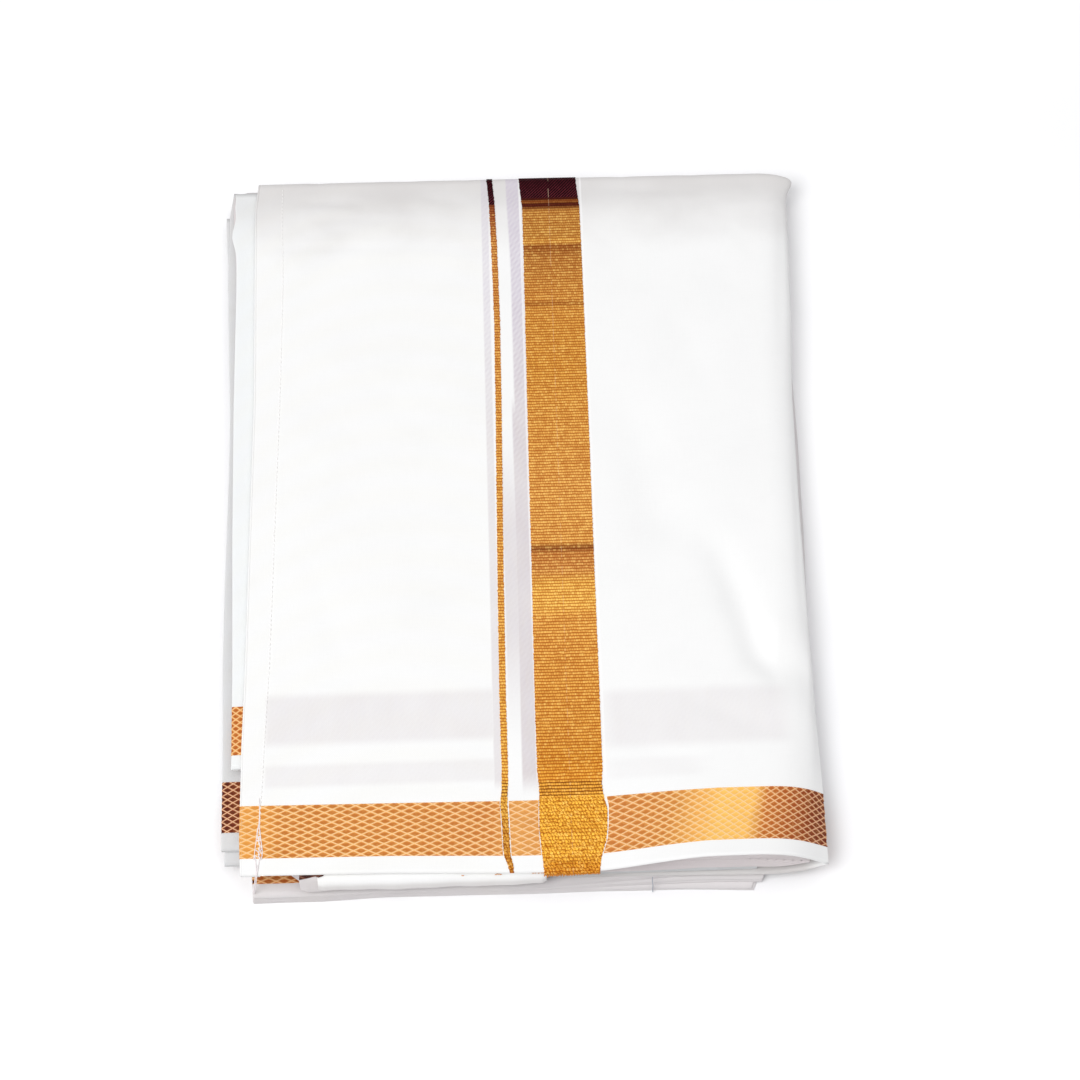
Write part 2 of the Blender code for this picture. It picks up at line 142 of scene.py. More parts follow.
Fold = NamedTuple("Fold", [(n, float) for n in "y tip_x tip_z top_x under_x slant nose_x".split()])
FOLDS = [
    Fold(-168.0, 117.0, 11.0, 84.0, 92.0, 0.30, 110.0),
    Fold(-136.0, 117.1, 10.9, 92.0, 97.0, 0.22, 112.0),
    Fold(-100.0, 116.7, 10.7, 100.0, 103.0, 0.10, 113.0),
    Fold(-60.0, 116.8, 10.6, 104.0, 106.0, 0.0, 113.5),
    Fold(0.0, 117.1, 10.5, 105.0, 107.0, 0.0, 114.0),
    Fold(50.0, 117.9, 10.5, 105.5, 107.5, 0.0, 114.5),
    Fold(95.0, 120.4, 10.5, 107.0, 109.0, 0.0, 116.5),
    Fold(152.0, 122.3, 10.6, 109.0, 111.0, 0.0, 117.0),
    Fold(156.0, 123.0, 10.8, 109.5, 111.5, 0.0, 115.0),
    Fold(161.0, 125.4, 11.0, 110.0, 111.0, 0.0, 111.0),
    Fold(168.0, 125.4, 11.0, 110.0, 111.0, 0.0, 111.0),
]
FOLD_REACH = 0.58
FOLD_DROP = 0.56

FrontEdge = NamedTuple("FrontEdge", [("path", float), ("y", float)])
FRONT_EDGES = [
    FrontEdge(0.0, -166.3),
    FrontEdge(0.3, -167.1),
    FrontEdge(0.55, -168.8),
    FrontEdge(0.72, -169.0),
    FrontEdge(0.82, -168.0),
    FrontEdge(0.92, -167.2),
    FrontEdge(1.0, -167.1),
    FrontEdge(2.0, -166.7),
    FrontEdge(3.0, -167.6),
    FrontEdge(3.35, -166.0),
    FrontEdge(3.75, -164.5),
    FrontEdge(3.9, -157.5),
    FrontEdge(4.0, -155.0),
]

Roll = NamedTuple("Roll", [(n, float) for n in "path centre_y radius slump".split()])
ROLLS = [
    Roll(0.0, 165.7, 4.0, 1.0),
    Roll(1.0, 163.0, 4.0, 1.0),
    Roll(1.5, 162.2, 2.8, 0.5),
    Roll(2.0, 161.8, 1.4, 0.0),
    Roll(3.0, 161.6, 1.4, 0.0),
    Roll(4.0, 161.6, 1.4, 0.0),
]

Trough = NamedTuple("Trough", [(n, float) for n in "x y depth width".split()])
CRESCENT = [
    Trough(72.0, -18.0, 0.0, 7.0),
    Trough(83.0, -30.0, 0.7, 7.0),
    Trough(90.0, -52.0, 1.2, 7.0),
    Trough(96.0, -76.0, 1.4, 7.0),
    Trough(106.0, -88.0, 1.0, 6.0),
    Trough(116.0, -90.0, 0.5, 6.0),
]
LONG_DIP = [
    Trough(44.0, 60.0, 0.0, 12.0),
    Trough(50.0, 36.0, 0.5, 12.0),
    Trough(58.0, -8.0, 0.7, 12.0),
    Trough(70.0, -28.0, 0.0, 12.0),
]


class Crease(NamedTuple):
    """A soft trough between two places, or a ridge where its depth is negative."""

    x0: float
    y0: float
    x1: float
    y1: float
    depth: float
    width: float


# Creases on the top: pressed lines first, then soft waves
TOP_CREASES = [
    Crease(-106.0, 131.0, -52.0, 129.4, 0.30, 1.6),
    Crease(-52.0, 129.4, -6.0, 127.6, 0.22, 1.5),
    Crease(-106.0, 127.6, -30.0, 125.2, -0.12, 2.2),
    Crease(-96.0, 157.0, -58.0, 154.0, 0.36, 2.0),
    Crease(-90.0, 147.0, -46.0, 144.5, 0.26, 2.2),
    Crease(-72.0, 150.5, -34.0, 149.5, 0.22, 1.8),
    Crease(-98.0, 139.0, -80.0, 147.0, 0.26, 1.8),
    Crease(-40.0, 158.0, -18.0, 152.0, 0.26, 2.0),
    Crease(40.0, 158.5, 82.0, 156.0, 0.28, 2.0),
    Crease(68.0, 147.0, 104.0, 151.0, 0.24, 2.6),
    Crease(92.0, 138.0, 108.0, 120.0, 0.16, 3.0),
    Crease(-66.0, 66.0, -24.0, 18.0, 0.16, 6.0),
    Crease(-88.0, -18.0, -70.0, -84.0, 0.12, 5.0),
    Crease(62.0, 104.0, 88.0, 44.0, 0.18, 7.0),
    Crease(60.0, -92.0, 98.0, -112.0, 0.30, 4.0),
    Crease(36.0, -112.0, 74.0, -128.0, 0.24, 5.0),
    Crease(-60.0, -128.0, -20.0, -132.0, 0.10, 3.0),
    Crease(92.0, -62.0, 112.0, -66.0, -0.35, 7.0),
    Crease(94.0, -98.0, 116.0, -108.0, -0.20, 5.0),
]

# Creases on the right fold, in path and y, for the side that the top doesn't show
FOLD_CREASES = [
    Crease(1.55, -70.0, 1.75, 24.0, 0.40, 0.14),
    Crease(2.35, 10.0, 2.20, 128.0, 0.35, 0.12),
    Crease(1.35, 70.0, 1.60, 150.0, 0.30, 0.13),
    Crease(2.60, -140.0, 2.30, -52.0, 0.30, 0.12),
    Crease(1.85, -128.0, 1.60, -84.0, -0.25, 0.16),
]

# Puckers in the roll at the back, in x and run
ROLL_CREASES = [
    Crease(-86.0, 1.0, -80.0, 2.0, 0.35, 3.0),
    Crease(-44.0, 1.2, -48.0, 2.0, 0.30, 4.0),
    Crease(-18.0, 0.98, -22.0, 2.0, 0.22, 2.2),
    Crease(48.0, 1.1, 54.0, 2.0, 0.35, 3.6),
    Crease(84.0, 1.0, 78.0, 1.8, 0.30, 3.0),
]

Width = NamedTuple("Width", [("y", float), ("left", float), ("right", float)])
BAND_EDGES = [
    Width(-169.0, 6.1, 27.8),
    Width(-163.0, 5.8, 28.5),
    Width(-155.5, 5.1, 30.8),
    Width(-149.0, 4.8, 31.4),
    Width(-142.5, 4.9, 31.6),
    Width(-136.5, 5.1, 30.4),
    Width(-131.5, 5.1, 29.8),
    Width(-125.0, 4.6, 30.4),
    Width(-94.0, 4.5, 30.5),
    Width(-30.0, 4.9, 30.6),
    Width(30.0, 5.1, 30.8),
    Width(121.0, 5.6, 30.9),
    Width(149.0, 5.6, 30.7),
    Width(166.0, 4.4, 29.5),
]
STRIPE_EDGES = [
    Width(-169.0, -7.0, -5.5),
    Width(-165.0, -8.0, -5.9),
    Width(-161.0, -9.3, -6.8),
    Width(-139.0, -10.2, -7.5),
    Width(-133.0, -9.6, -7.2),
    Width(-124.5, -9.4, -6.9),
    Width(-94.0, -9.6, -7.0),
    Width(-29.0, -9.1, -6.6),
    Width(36.0, -8.3, -5.8),
    Width(88.0, -7.9, -5.4),
    Width(130.0, -8.4, -5.9),
    Width(152.0, -9.0, -6.5),
    Width(166.0, -9.8, -7.4),
]

BaseEdge = NamedTuple("BaseEdge", [("y", float), ("left", float), ("right", float)])
BASE_FRONTS = [
    FrontEdge(0.0, -170.9),
    FrontEdge(0.15, -170.9),
    FrontEdge(0.27, -169.9),
    FrontEdge(0.57, -170.4),
    FrontEdge(0.70, -170.4),
    FrontEdge(0.89, -171.0),
    FrontEdge(1.0, -172.0),
]
BASE_EDGES = [
    BaseEdge(-172.2, -108.2, 88.0),
    BaseEdge(-159.0, -109.0, 93.5),
    BaseEdge(-150.0, -116.0, 97.0),
    BaseEdge(-110.0, -116.5, 105.0),
    BaseEdge(-84.0, -116.5, 112.5),
    BaseEdge(-68.0, -116.5, 117.7),
    BaseEdge(-20.0, -117.0, 119.0),
    BaseEdge(50.0, -117.5, 119.9),
    BaseEdge(100.0, -118.0, 120.0),
    BaseEdge(172.0, -118.0, 118.0),
]

Droop = NamedTuple("Droop", [("y", float), ("z", float)])
FRONT_PLY = [
    Droop(-160.0, 15.75),
    Droop(-166.0, 15.7),
    Droop(-168.3, 15.0),
    Droop(-169.6, 13.2),
    Droop(-170.1, 11.4),
    Droop(-170.4, 10.0),
]


def read(rows: Sequence[Any], key: str, column: str, at: Any) -> Any:
    """Read a column of a table at places between its rows.

    Args:
        rows: The table, sorted by its key.
        key: The name of the column that is looked up.
        column: The name of the column that is read.
        at: One place or an array of places.

    Returns:
        The value or values there.
    """
    return np.interp(at, [getattr(row, key) for row in rows], [getattr(row, column) for row in rows])


def mix(start: Any, end: Any, share: Any) -> Any:
    """A value part of the way from start to end."""
    return start + (end - start) * share


def smooth(value: Any) -> Any:
    """Ease from 0 to 1."""
    value = np.clip(value, 0.0, 1.0)
    return value * value * (3 - 2 * value)


def spread(*stretches: tuple[float, float, int]) -> np.ndarray:
    """Places along stretches, each given by its start, its end and its count."""
    return np.concatenate([np.linspace(*stretch) for stretch in stretches])


def tone(red: float, green: float, blue: float) -> Colour:
    """A linear colour from its screen values out of 255.

    Args:
        red: The red value.
        green: The green value.
        blue: The blue value.

    Returns:
        The colour with full alpha.
    """
    levels = [value / 255 for value in (red, green, blue)]
    linear = [v / 12.92 if v <= 0.04045 else ((v + 0.055) / 1.055) ** 2.4 for v in levels]
    return (linear[0], linear[1], linear[2], 1.0)


def crease_depth(creases: Iterable[Crease], x: Any, y: Any, stretch: float = 1.0) -> Any:
    """Depth of the creases at places, each fading out at its ends.

    Args:
        creases: The creases.
        x: The places along the creases' first axis.
        y: The places along their second axis.
        stretch: How much longer a unit of the second axis is than one of the first.

    Returns:
        The summed depth.
    """
    total = np.zeros(np.broadcast(x, y).shape)
    for crease in creases:
        dx, dy = crease.x1 - crease.x0, (crease.y1 - crease.y0) * stretch
        ox, oy = x - crease.x0, (y - crease.y0) * stretch
        share = (ox * dx + oy * dy) / (dx * dx + dy * dy)
        near = np.clip(share, 0.0, 1.0)
        away = np.hypot(ox - near * dx, oy - near * dy) / crease.width
        fade = smooth(near / 0.3) * smooth((1 - near) / 0.3)
        total = total + crease.depth * np.exp(-away * away) * (0.25 + 0.75 * fade)
    return total


def trough_depth(rows: Sequence[Trough], x: Any, y: Any) -> Any:
    """Depth of a winding trough at places, from its nearest stretch.

    Args:
        rows: The trough's bends in order.
        x: The places across.
        y: The places from front to back.

    Returns:
        The depth.
    """
    deepest = np.zeros(np.broadcast(x, y).shape)
    for first, second in zip(rows, rows[1:]):
        dx, dy = second.x - first.x, second.y - first.y
        ox, oy = x - first.x, y - first.y
        share = np.clip((ox * dx + oy * dy) / (dx * dx + dy * dy), 0.0, 1.0)
        away = np.hypot(ox - share * dx, oy - share * dy)
        depth = mix(first.depth, second.depth, share)
        width = mix(first.width, second.width, share)
        deepest = np.maximum(deepest, depth * np.exp(-((away / width) ** 2)))
    return deepest


def grid_normals(points: np.ndarray) -> np.ndarray:
    """Unit normals of a grid, upwards where rows run back and columns right.

    Args:
        points: The grid's points.

    Returns:
        The normals.
    """
    along = np.gradient(points, axis=1)
    across = np.gradient(points, axis=0)
    normal = np.cross(along, across)
    return normal / np.maximum(np.linalg.norm(normal, axis=2, keepdims=True), 1e-9)


class Value:
    """A number in a material's nodes, on which Python's operators add Math nodes."""

    def __init__(self, tree: bpy.types.NodeTree, socket: bpy.types.NodeSocket) -> None:
        """Keep the tree and the socket."""
        self.tree = tree
        self.socket = socket

    def math(self, operation: str, *operands: Any) -> "Value":
        """Add one Math node.

        Args:
            operation: The node's operation.
            operands: Its inputs in order, values or plain numbers.

        Returns:
            The node's result.
        """
        node = self.tree.nodes.new("ShaderNodeMath")
        node.operation = operation
        for socket, operand in zip(node.inputs, operands):
            if isinstance(operand, Value):
                self.tree.links.new(operand.socket, socket)
            else:
                socket.default_value = operand
        return Value(self.tree, node.outputs[0])

    def __add__(self, other: Any) -> "Value":
        """This plus other."""
        return self.math("ADD", self, other)

    def __radd__(self, other: Any) -> "Value":
        """Other plus this."""
        return self.math("ADD", other, self)

    def __sub__(self, other: Any) -> "Value":
        """This minus other."""
        return self.math("SUBTRACT", self, other)

    def __rsub__(self, other: Any) -> "Value":
        """Other minus this."""
        return self.math("SUBTRACT", other, self)

    def __mul__(self, other: Any) -> "Value":
        """This times other."""
        return self.math("MULTIPLY", self, other)

    def __rmul__(self, other: Any) -> "Value":
        """Other times this."""
        return self.math("MULTIPLY", other, self)

    def __truediv__(self, other: Any) -> "Value":
        """This divided by other."""
        return self.math("DIVIDE", self, other)

    def __abs__(self) -> "Value":
        """The value without its sign."""
        return self.math("ABSOLUTE", self)

    def sin(self) -> "Value":
        """The sine of the value."""
        return self.math("SINE", self)

    def floor(self) -> "Value":
        """The whole number below the value."""
        return self.math("FLOOR", self)

    def fraction(self) -> "Value":
        """What is left above the whole number."""
        return self.math("FRACT", self)

    def most(self, other: Any) -> "Value":
        """The larger of two values."""
        return self.math("MAXIMUM", self, other)


class Bench:
    """The nodes of one material, round its Principled shader."""

    def __init__(self, name: str) -> None:
        """Start a material with its shader."""
        self.material = bpy.data.materials.new(name)
        self.material.use_nodes = True
        self.tree = self.material.node_tree
        self.shader = self.tree.nodes["Principled BSDF"]

    def node(self, kind: str, settings: dict[str, Any], sockets: dict[Any, Any]) -> bpy.types.Node:
        """Add a node, its settings before its sockets.

        Args:
            kind: The node's type.
            settings: Its settings; stops are a colour ramp's places and colours.
            sockets: Its inputs by name or number, with values or links.

        Returns:
            The node.
        """
        node = self.tree.nodes.new(kind)
        for name, setting in settings.items():
            if name == "stops":
                self.set_stops(node, setting)
            else:
                setattr(node, name, setting)
        self.plug(node, sockets)
        return node

    def set_stops(self, node: bpy.types.Node, stops: Sequence[tuple[float, Colour]]) -> None:
        """Fill a colour ramp.

        Args:
            node: The ramp's node.
            stops: Places from 0 to 1 with their colours.
        """
        elements = node.color_ramp.elements
        while len(elements) < len(stops):
            elements.new(1.0)
        for element, (place, colour) in zip(elements, stops):
            element.position = place
            element.color = colour

    def plug(self, node: bpy.types.Node, sockets: dict[Any, Any]) -> None:
        """Set or link a node's inputs.

        Args:
            node: The node.
            sockets: Its inputs by name or number, with values or links.
        """
        for name, item in sockets.items():
            source = item.socket if isinstance(item, Value) else item
            if isinstance(source, bpy.types.NodeSocket):
                self.tree.links.new(source, node.inputs[name])
            else:
                node.inputs[name].default_value = source

    def split(self, socket: bpy.types.NodeSocket) -> tuple[Value, Value, Value]:
        """The three numbers of a vector."""
        node = self.node("ShaderNodeSeparateXYZ", {}, {0: socket})
        return tuple(Value(self.tree, output) for output in node.outputs)

    def place(self) -> tuple[Value, Value, Value]:
        """The place in the model's frame, in millimetres."""
        source = self.node("ShaderNodeTexCoord", {}, {})
        sockets = {0: source.outputs["Object"], "Scale": 1 / MM}
        scaled = self.node("ShaderNodeVectorMath", {"operation": "SCALE"}, sockets)
        return self.split(scaled.outputs[0])

    def cloth(self) -> tuple[Value, Value, Value]:
        """The place on the cloth, along and across it, in millimetres."""
        source = self.node("ShaderNodeAttribute", {"attribute_name": "cloth"}, {})
        return self.split(source.outputs["Vector"])

    def vector(self, x: Any, y: Any, z: Any = 0.0) -> bpy.types.NodeSocket:
        """A vector of three numbers."""
        return self.node("ShaderNodeCombineXYZ", {}, {0: x, 1: y, 2: z}).outputs[0]

    def noise(self, x: Any, y: Any, z: Any = 0.0, detail: float = 2.0) -> Value:
        """Soft noise from 0 to 1 at a place, one lump to a unit."""
        sockets = {"Vector": self.vector(x, y, z), "Scale": 1.0, "Detail": detail}
        return Value(self.tree, self.node("ShaderNodeTexNoise", {}, sockets).outputs[0])

    def chance(self, x: Any, y: Any) -> Value:
        """A random number from 0 to 1 for each whole place."""
        node = self.node("ShaderNodeTexWhiteNoise", {"noise_dimensions": "2D"}, {"Vector": self.vector(x, y)})
        return Value(self.tree, node.outputs["Value"])

    def step(self, value: Any, low: float, high: float) -> Value:
        """A soft step from 0 at low to 1 at high."""
        sockets = {"Value": value, "From Min": low, "From Max": high}
        node = self.node("ShaderNodeMapRange", {"interpolation_type": "SMOOTHSTEP"}, sockets)
        return Value(self.tree, node.outputs[0])

    def band(self, value: Any, low: float, high: float, soft: float) -> Value:
        """A mask that is 1 between low and high, with soft ends."""
        return self.step(value, low - soft, low + soft) * (1 - self.step(value, high - soft, high + soft))

    def blend(self, share: Any, first: Any, second: Any, way: str = "MIX") -> bpy.types.NodeSocket:
        """Mix two colours.

        Args:
            share: How much of the second colour there is.
            first: A colour or a socket.
            second: A colour or a socket.
            way: The node's blend type.

        Returns:
            The mixed colour.
        """
        settings = {"data_type": "RGBA", "blend_type": way}
        return self.node("ShaderNodeMix", settings, {0: share, 6: first, 7: second}).outputs[2]

    def ramp(
        self, value: Any, stops: Sequence[tuple[float, Colour]], low: float, high: float
    ) -> bpy.types.NodeSocket:
        """A colour read from a ramp whose stops lie between low and high.

        Args:
            value: The number that is looked up.
            stops: Places in the number's own units, with their colours.
            low: The number at the ramp's start.
            high: The number at its end.

        Returns:
            The colour.
        """
        placed = [((at - low) / (high - low), colour) for at, colour in stops]
        share = (value - low) / (high - low)
        return self.node("ShaderNodeValToRGB", {"stops": placed}, {0: share}).outputs[0]

    def relief(self, height: Any, distance: float) -> None:
        """Raise the surface in the shader.

        Args:
            height: The height, from 0 to 1.
            distance: The full height in millimetres.
        """
        bump = self.node("ShaderNodeBump", {}, {"Height": height, "Distance": distance * MM, "Strength": 1.0})
        self.plug(self.shader, {"Normal": bump.outputs[0]})


@dataclass(frozen=True)
class Ghost:
    """A zone where the gold of a ply beneath shows faintly through the cotton."""

    x_low: float
    x_high: float
    y_low: float
    y_high: float
    soft_x: float
    soft_y: float
    strength: float
    drift: float = 0.0


# Zones seen through the cover: beside the stripe and the band, and over the inner plies' borders
GHOSTS = (
    Ghost(-12.4, -9.4, -131.0, 175.0, 0.4, 3.0, 0.6),
    Ghost(-0.2, 5.2, 34.0, 175.0, 0.5, 8.0, 1.0, 1.2),
    Ghost(-1.3, 5.0, -131.0, 46.0, 0.5, 6.0, 0.95),
    Ghost(-6.2, 0.2, -84.0, 8.0, 0.5, 34.0, 0.8),
    Ghost(-103.0, -12.0, -110.5, -88.6, 1.0, 2.4, 0.42),
    Ghost(32.0, 104.0, -116.0, -91.0, 6.0, 3.0, 0.34),
    Ghost(-103.0, -12.0, -129.0, -119.5, 1.0, 1.6, 0.30),
    Ghost(32.0, 70.0, -130.0, -121.5, 6.0, 1.8, 0.16),
)


@dataclass(frozen=True)
class CottonFinish:
    """Fine plain-woven bleached cotton."""

    name: str
    colour: Colour
    shade: Colour
    ghosts: tuple[Ghost, ...] = ()
    ghost_tone: Colour = tone(201, 193, 200)
    crisp_lines: tuple[float, ...] = ()
    # Painted shade: these shares draw the colour toward this darker tone near the back roll, on the return
    # under the stack and along a hanging ply's lower rim.
    painted_shade_tone: Colour = tone(202, 198, 196)
    painted_shade_back: float = 0.0
    painted_shade_under: float = 0.0
    painted_shade_rim: float = 0.0
    thread: float = 0.36
    relief_height: float = 0.035
    roughness: float = 0.82

    def material(self) -> bpy.types.Material:
        """Weave the finish from nodes and return its material."""
        bench = Bench(self.name)
        x, y, _ = bench.place()
        along, across, _ = bench.cloth()
        pitch = math.pi / self.thread
        weave = (along * pitch).sin() * (across * pitch).sin() * 0.5 + 0.5
        weft_slub = bench.noise(along * 0.12, across * 3.4, 3.0, 3.0)
        warp_slub = bench.noise(along * 3.4, across * 0.12, 9.0, 3.0)
        cloudy = bench.noise(x * 0.035, y * 0.035, 1.0, 3.0)
        slub = weft_slub * 0.5 + warp_slub * 0.5
        worn = bench.step(slub * 0.55 + cloudy * 0.45, 0.40, 0.68)
        colour = bench.blend(worn * 0.42 + (1 - weave) * 0.12, self.colour, self.shade)
        waves = self.waves(x, y) * (1 - bench.step(x, -20.0, 0.0))
        colour = bench.blend(waves * 0.12, colour, tone(253, 250, 238), "MULTIPLY")
        # Painted shade: darker towards the back roll, on the cover's return under the stack and along a
        # hanging ply's lower rim.
        painted_shade = bench.step(y + cloudy * 26.0 - 13.0, 118.0, 172.0) * self.painted_shade_back
        if self.painted_shade_under:
            painted_shade = painted_shade.most(bench.step(along, 234.0, 242.0) * self.painted_shade_under)
        if self.painted_shade_rim:
            painted_shade = painted_shade.most(bench.step(across, 9.6, 13.0) * self.painted_shade_rim)
        colour = bench.blend(painted_shade, colour, self.painted_shade_tone)
        if self.ghosts:
            colour = self.tint_ghosts(bench, colour, x, y)
        beside = bench.step(y, -132.0, -126.0) * 0.55
        for line in self.crisp_lines:
            pale = bench.band(x, line - 0.4, line + 0.4, 0.25) * beside
            colour = bench.blend(pale, colour, tone(244, 244, 244))
        rough = slub * 0.12 + (self.roughness - 0.06)
        bench.plug(bench.shader, {"Base Color": colour, "Roughness": rough, "Specular IOR Level": 0.2})
        bench.plug(bench.shader, {"Sheen Weight": 0.10, "Sheen Roughness": 0.6})
        bench.relief(weave * 0.5 + slub * 0.5, self.relief_height)
        return bench.material

    def waves(self, x: Value, y: Value) -> Value:
        """Broad arched bands, where two layers of the weave cross at a slight angle."""
        bowed = y + (x + 48) * (x + 48) * 0.0065
        return (bowed * (2 * math.pi / 15)).sin() * 0.5 + 0.5

    def tint_ghosts(self, bench: Bench, colour: Any, x: Value, y: Value) -> bpy.types.NodeSocket:
        """Tint the zones that show through, with a fine diagonal moire.

        Args:
            bench: The material's nodes.
            colour: The colour of the plain cotton.
            x: The place across the cloth.
            y: The place from front to back.

        Returns:
            The tinted colour.
        """
        mask: Any = 0.0
        for ghost in self.ghosts:
            straight = x + bench.step(y, 112.0, 168.0) * ghost.drift
            zone = bench.band(straight, ghost.x_low, ghost.x_high, ghost.soft_x)
            zone = zone * bench.band(y, ghost.y_low, ghost.y_high, ghost.soft_y) * ghost.strength
            mask = zone.most(mask)
        fine = (x * 2.6 - y * 1.9).sin() * (x * 0.7 + y * 0.5).sin()
        moire = fine * (bench.step(y, -20.0, 80.0) * 0.14 + 0.05) + 0.80
        uneven = bench.noise(x * 0.12, y * 0.05, 5.0, 3.0) * 0.5 + 0.72
        lavender = bench.step(y, 20.0, 120.0) * 0.6
        tinted = bench.blend(bench.noise(x * 0.5, y * 0.09, 4.0), self.ghost_tone, tone(204, 194, 192))
        tinted = bench.blend(lavender, tinted, tone(202, 195, 211))
        return bench.blend(mask * moire * uneven, colour, tinted)


@dataclass(frozen=True)
class NetFinish:
    """Woven gold border: dark lozenges in a lighter net, by place along the cloth."""

    name: str
    lozenges: tuple[tuple[float, Colour], ...]
    net: tuple[tuple[float, Colour], ...]
    length: float
    pitch: float = LOZENGE_LONG
    metallic: float = 0.25
    pale_line: float = 0.55
    glint: float = 0.16

    def material(self) -> bpy.types.Material:
        """Weave the finish from nodes and return its material."""
        bench = Bench(self.name)
        along, across, _ = bench.cloth()
        one = along / self.pitch + across / LOZENGE_SHORT
        two = along / self.pitch - across / LOZENGE_SHORT
        edge = abs(one.fraction() - 0.5).most(abs(two.fraction() - 0.5))
        wobble = (bench.noise(along * 2.2, across * 4.0, 2.0, 2.0) - 0.5) * 0.14
        lens = 1 - (one.fraction() * math.pi).sin() * (two.fraction() * math.pi).sin()
        core = bench.step(lens + wobble, 0.30, 1.02)
        line = bench.step(edge + wobble * 0.5, 0.385, 0.47)
        dark = bench.ramp(along, self.lozenges, 0.0, self.length)
        light = bench.ramp(along, self.net, 0.0, self.length)
        threads = (across * (2 * math.pi / 0.46)).sin() * 0.5 + 0.5
        glint = bench.chance((along / 0.9).floor(), (across / 0.46).floor())
        patchy = bench.noise(along * 0.10, across * 0.16, 7.0, 3.0)
        colour = bench.blend(core, dark, light)
        colour = bench.blend(line * self.pale_line, colour, tone(252, 216, 176))
        # Painted glints: bright gold spots painted on random threads.
        colour = bench.blend(bench.step(glint, 0.55, 1.0) * self.glint, colour, tone(255, 210, 126))
        # Painted shade in the grooves between threads, with random darker patches.
        painted_groove_shade_and_patches = (1 - threads) * 0.16 + bench.step(patchy, 0.5, 0.8) * 0.10
        colour = bench.blend(painted_groove_shade_and_patches, colour, tone(150, 82, 30))
        rough = 0.52 - line * 0.08 + glint * 0.12
        bench.plug(bench.shader, {"Base Color": colour, "Roughness": rough, "Metallic": self.metallic})
        bench.plug(bench.shader, {"Specular IOR Level": 0.2})
        bench.relief(threads * 0.6 + line * 0.4, 0.05)
        return bench.material


@dataclass(frozen=True)
class BandFinish:
    """Woven gold end band: rows of short dashes, whose tone changes along the band."""

    name: str
    tones: tuple[tuple[float, Colour], ...]
    length: float
    # Where the painted shade of the roll begins, from the front edge.
    roll_shade_start: float
    rib_at: float = 12.3
    metallic: float = 0.25

    def material(self) -> bpy.types.Material:
        """Weave the finish from nodes and return its material."""
        bench = Bench(self.name)
        along, across, _ = bench.cloth()
        row = across / ROW + (bench.noise(along * 0.35, across * 0.5, 12.0) - 0.5) * 0.5
        number = row.floor()
        dash = along / DASH + number * 0.37 + bench.noise(along * 0.5, number * 1.3, 6.0) * 1.4
        crest = 1 - abs(row.fraction() - 0.5) * 2
        body = 1 - abs(dash.fraction() - 0.5) * 2
        lot = bench.chance(dash.floor(), number)
        streaky = bench.noise(along * 0.12, across * 0.9, 3.0, 3.0)
        lifted = bench.step(crest, 0.06, 0.66) * (0.45 + bench.step(body, 0.05, 0.6) * 0.55)
        wheat = bench.band(across, WHEAT_START, WHEAT_END, 0.5)
        lifted = lifted + (self.grain_mask(bench, along, across) - lifted) * wheat
        colour = bench.ramp(across, self.tones, 0.0, self.length)
        bold = bench.band(across, WHEAT_END, BOLD_END, 0.4)
        # The gaps between dashes are darker: partly the darker weft between the gold floats, partly painted
        # shade in the grooves.
        gap = bench.blend(wheat, tone(188, 140, 104), tone(168, 122, 62))
        dark = bench.blend(1.0, colour, bench.blend(bold, gap, tone(134, 90, 60)), "MULTIPLY")
        row_tone = bench.chance(number, 4.0)
        share = lifted * (lot * 0.75 + streaky * 0.42 + row_tone * 0.20 + 0.36)
        colour = bench.blend(share, dark, colour)
        # Painted highlights on the brightest dashes, none near the roll.
        shining = lifted * bench.step(lot, 0.6, 1.0) * (1 - bench.step(across, 313.0, 316.0))
        colour = bench.blend(shining * 0.32, colour, tone(255, 214, 124))
        # Painted shade: from the roll on the band is painted dark maroon, where the gold turns away, and
        # diagonal lines across it are painted lighter.
        roll_shade = bench.step(across, self.roll_shade_start - 0.8, self.roll_shade_start + 0.8)
        diagonal = bench.step(((along - across * 0.8) * (2 * math.pi / 1.35)).sin(), 0.1, 1.0)
        faded = 1 - bench.step(across, self.roll_shade_start + 3, self.roll_shade_start + 12) * 0.5
        spark = diagonal * (lot * 0.4 + 0.5) * faded
        maroon = bench.blend(spark, tone(22, 0, 4), tone(116, 42, 52))
        colour = bench.blend(roll_shade, colour, maroon)
        rib = bench.band(along, self.rib_at - 0.1, self.rib_at + 0.1, 0.12)
        rib = rib * bench.step(lot, 0.4, 0.5) * (roll_shade * 0.15 + 0.30)
        colour = bench.blend(rib, colour, tone(236, 206, 176))
        rough = 0.50 - lifted * 0.10 + lot * 0.10
        gleam = (1 - roll_shade) * self.metallic
        bench.plug(bench.shader, {"Base Color": colour, "Roughness": rough, "Metallic": gleam})
        bench.plug(bench.shader, {"Specular IOR Level": 0.04})
        bench.relief(lifted * 0.7 + lot * 0.3, 0.09)
        return bench.material

    def grain_mask(self, bench: Bench, along: Value, across: Value) -> Value:
        """Plump slanted grains over the border, each row set off from the last.

        Args:
            bench: The material's nodes.
            along: The place across the band.
            across: The distance from the front edge.

        Returns:
            How far each place stands on a grain, from 0 to about 1.
        """
        row = across / WHEAT + (bench.noise(along * 0.6, across * 0.5, 8.0) - 0.5) * 1.6
        shift = row.floor() * 0.5 + bench.noise(along * 0.4, across * 0.9, 2.0) * 1.8
        cell = (along + (row.fraction() - 0.5) * 0.7) / 1.3 + shift
        body = 1 - abs(cell.fraction() - 0.5) * 2
        crest = 1 - abs(row.fraction() - 0.5) * 2
        worn = bench.noise(along * 0.9, across * 0.9, 6.0, 3.0) * 1.9 + 0.05
        tier = 1 - abs((across / 5.6).fraction() - 0.5) * 2
        crowned = bench.step(body, -0.1, 0.60) * bench.step(crest, -0.1, 0.5)
        return crowned * worn * (bench.step(tier, 0.0, 0.3) * 0.3 + 0.7)


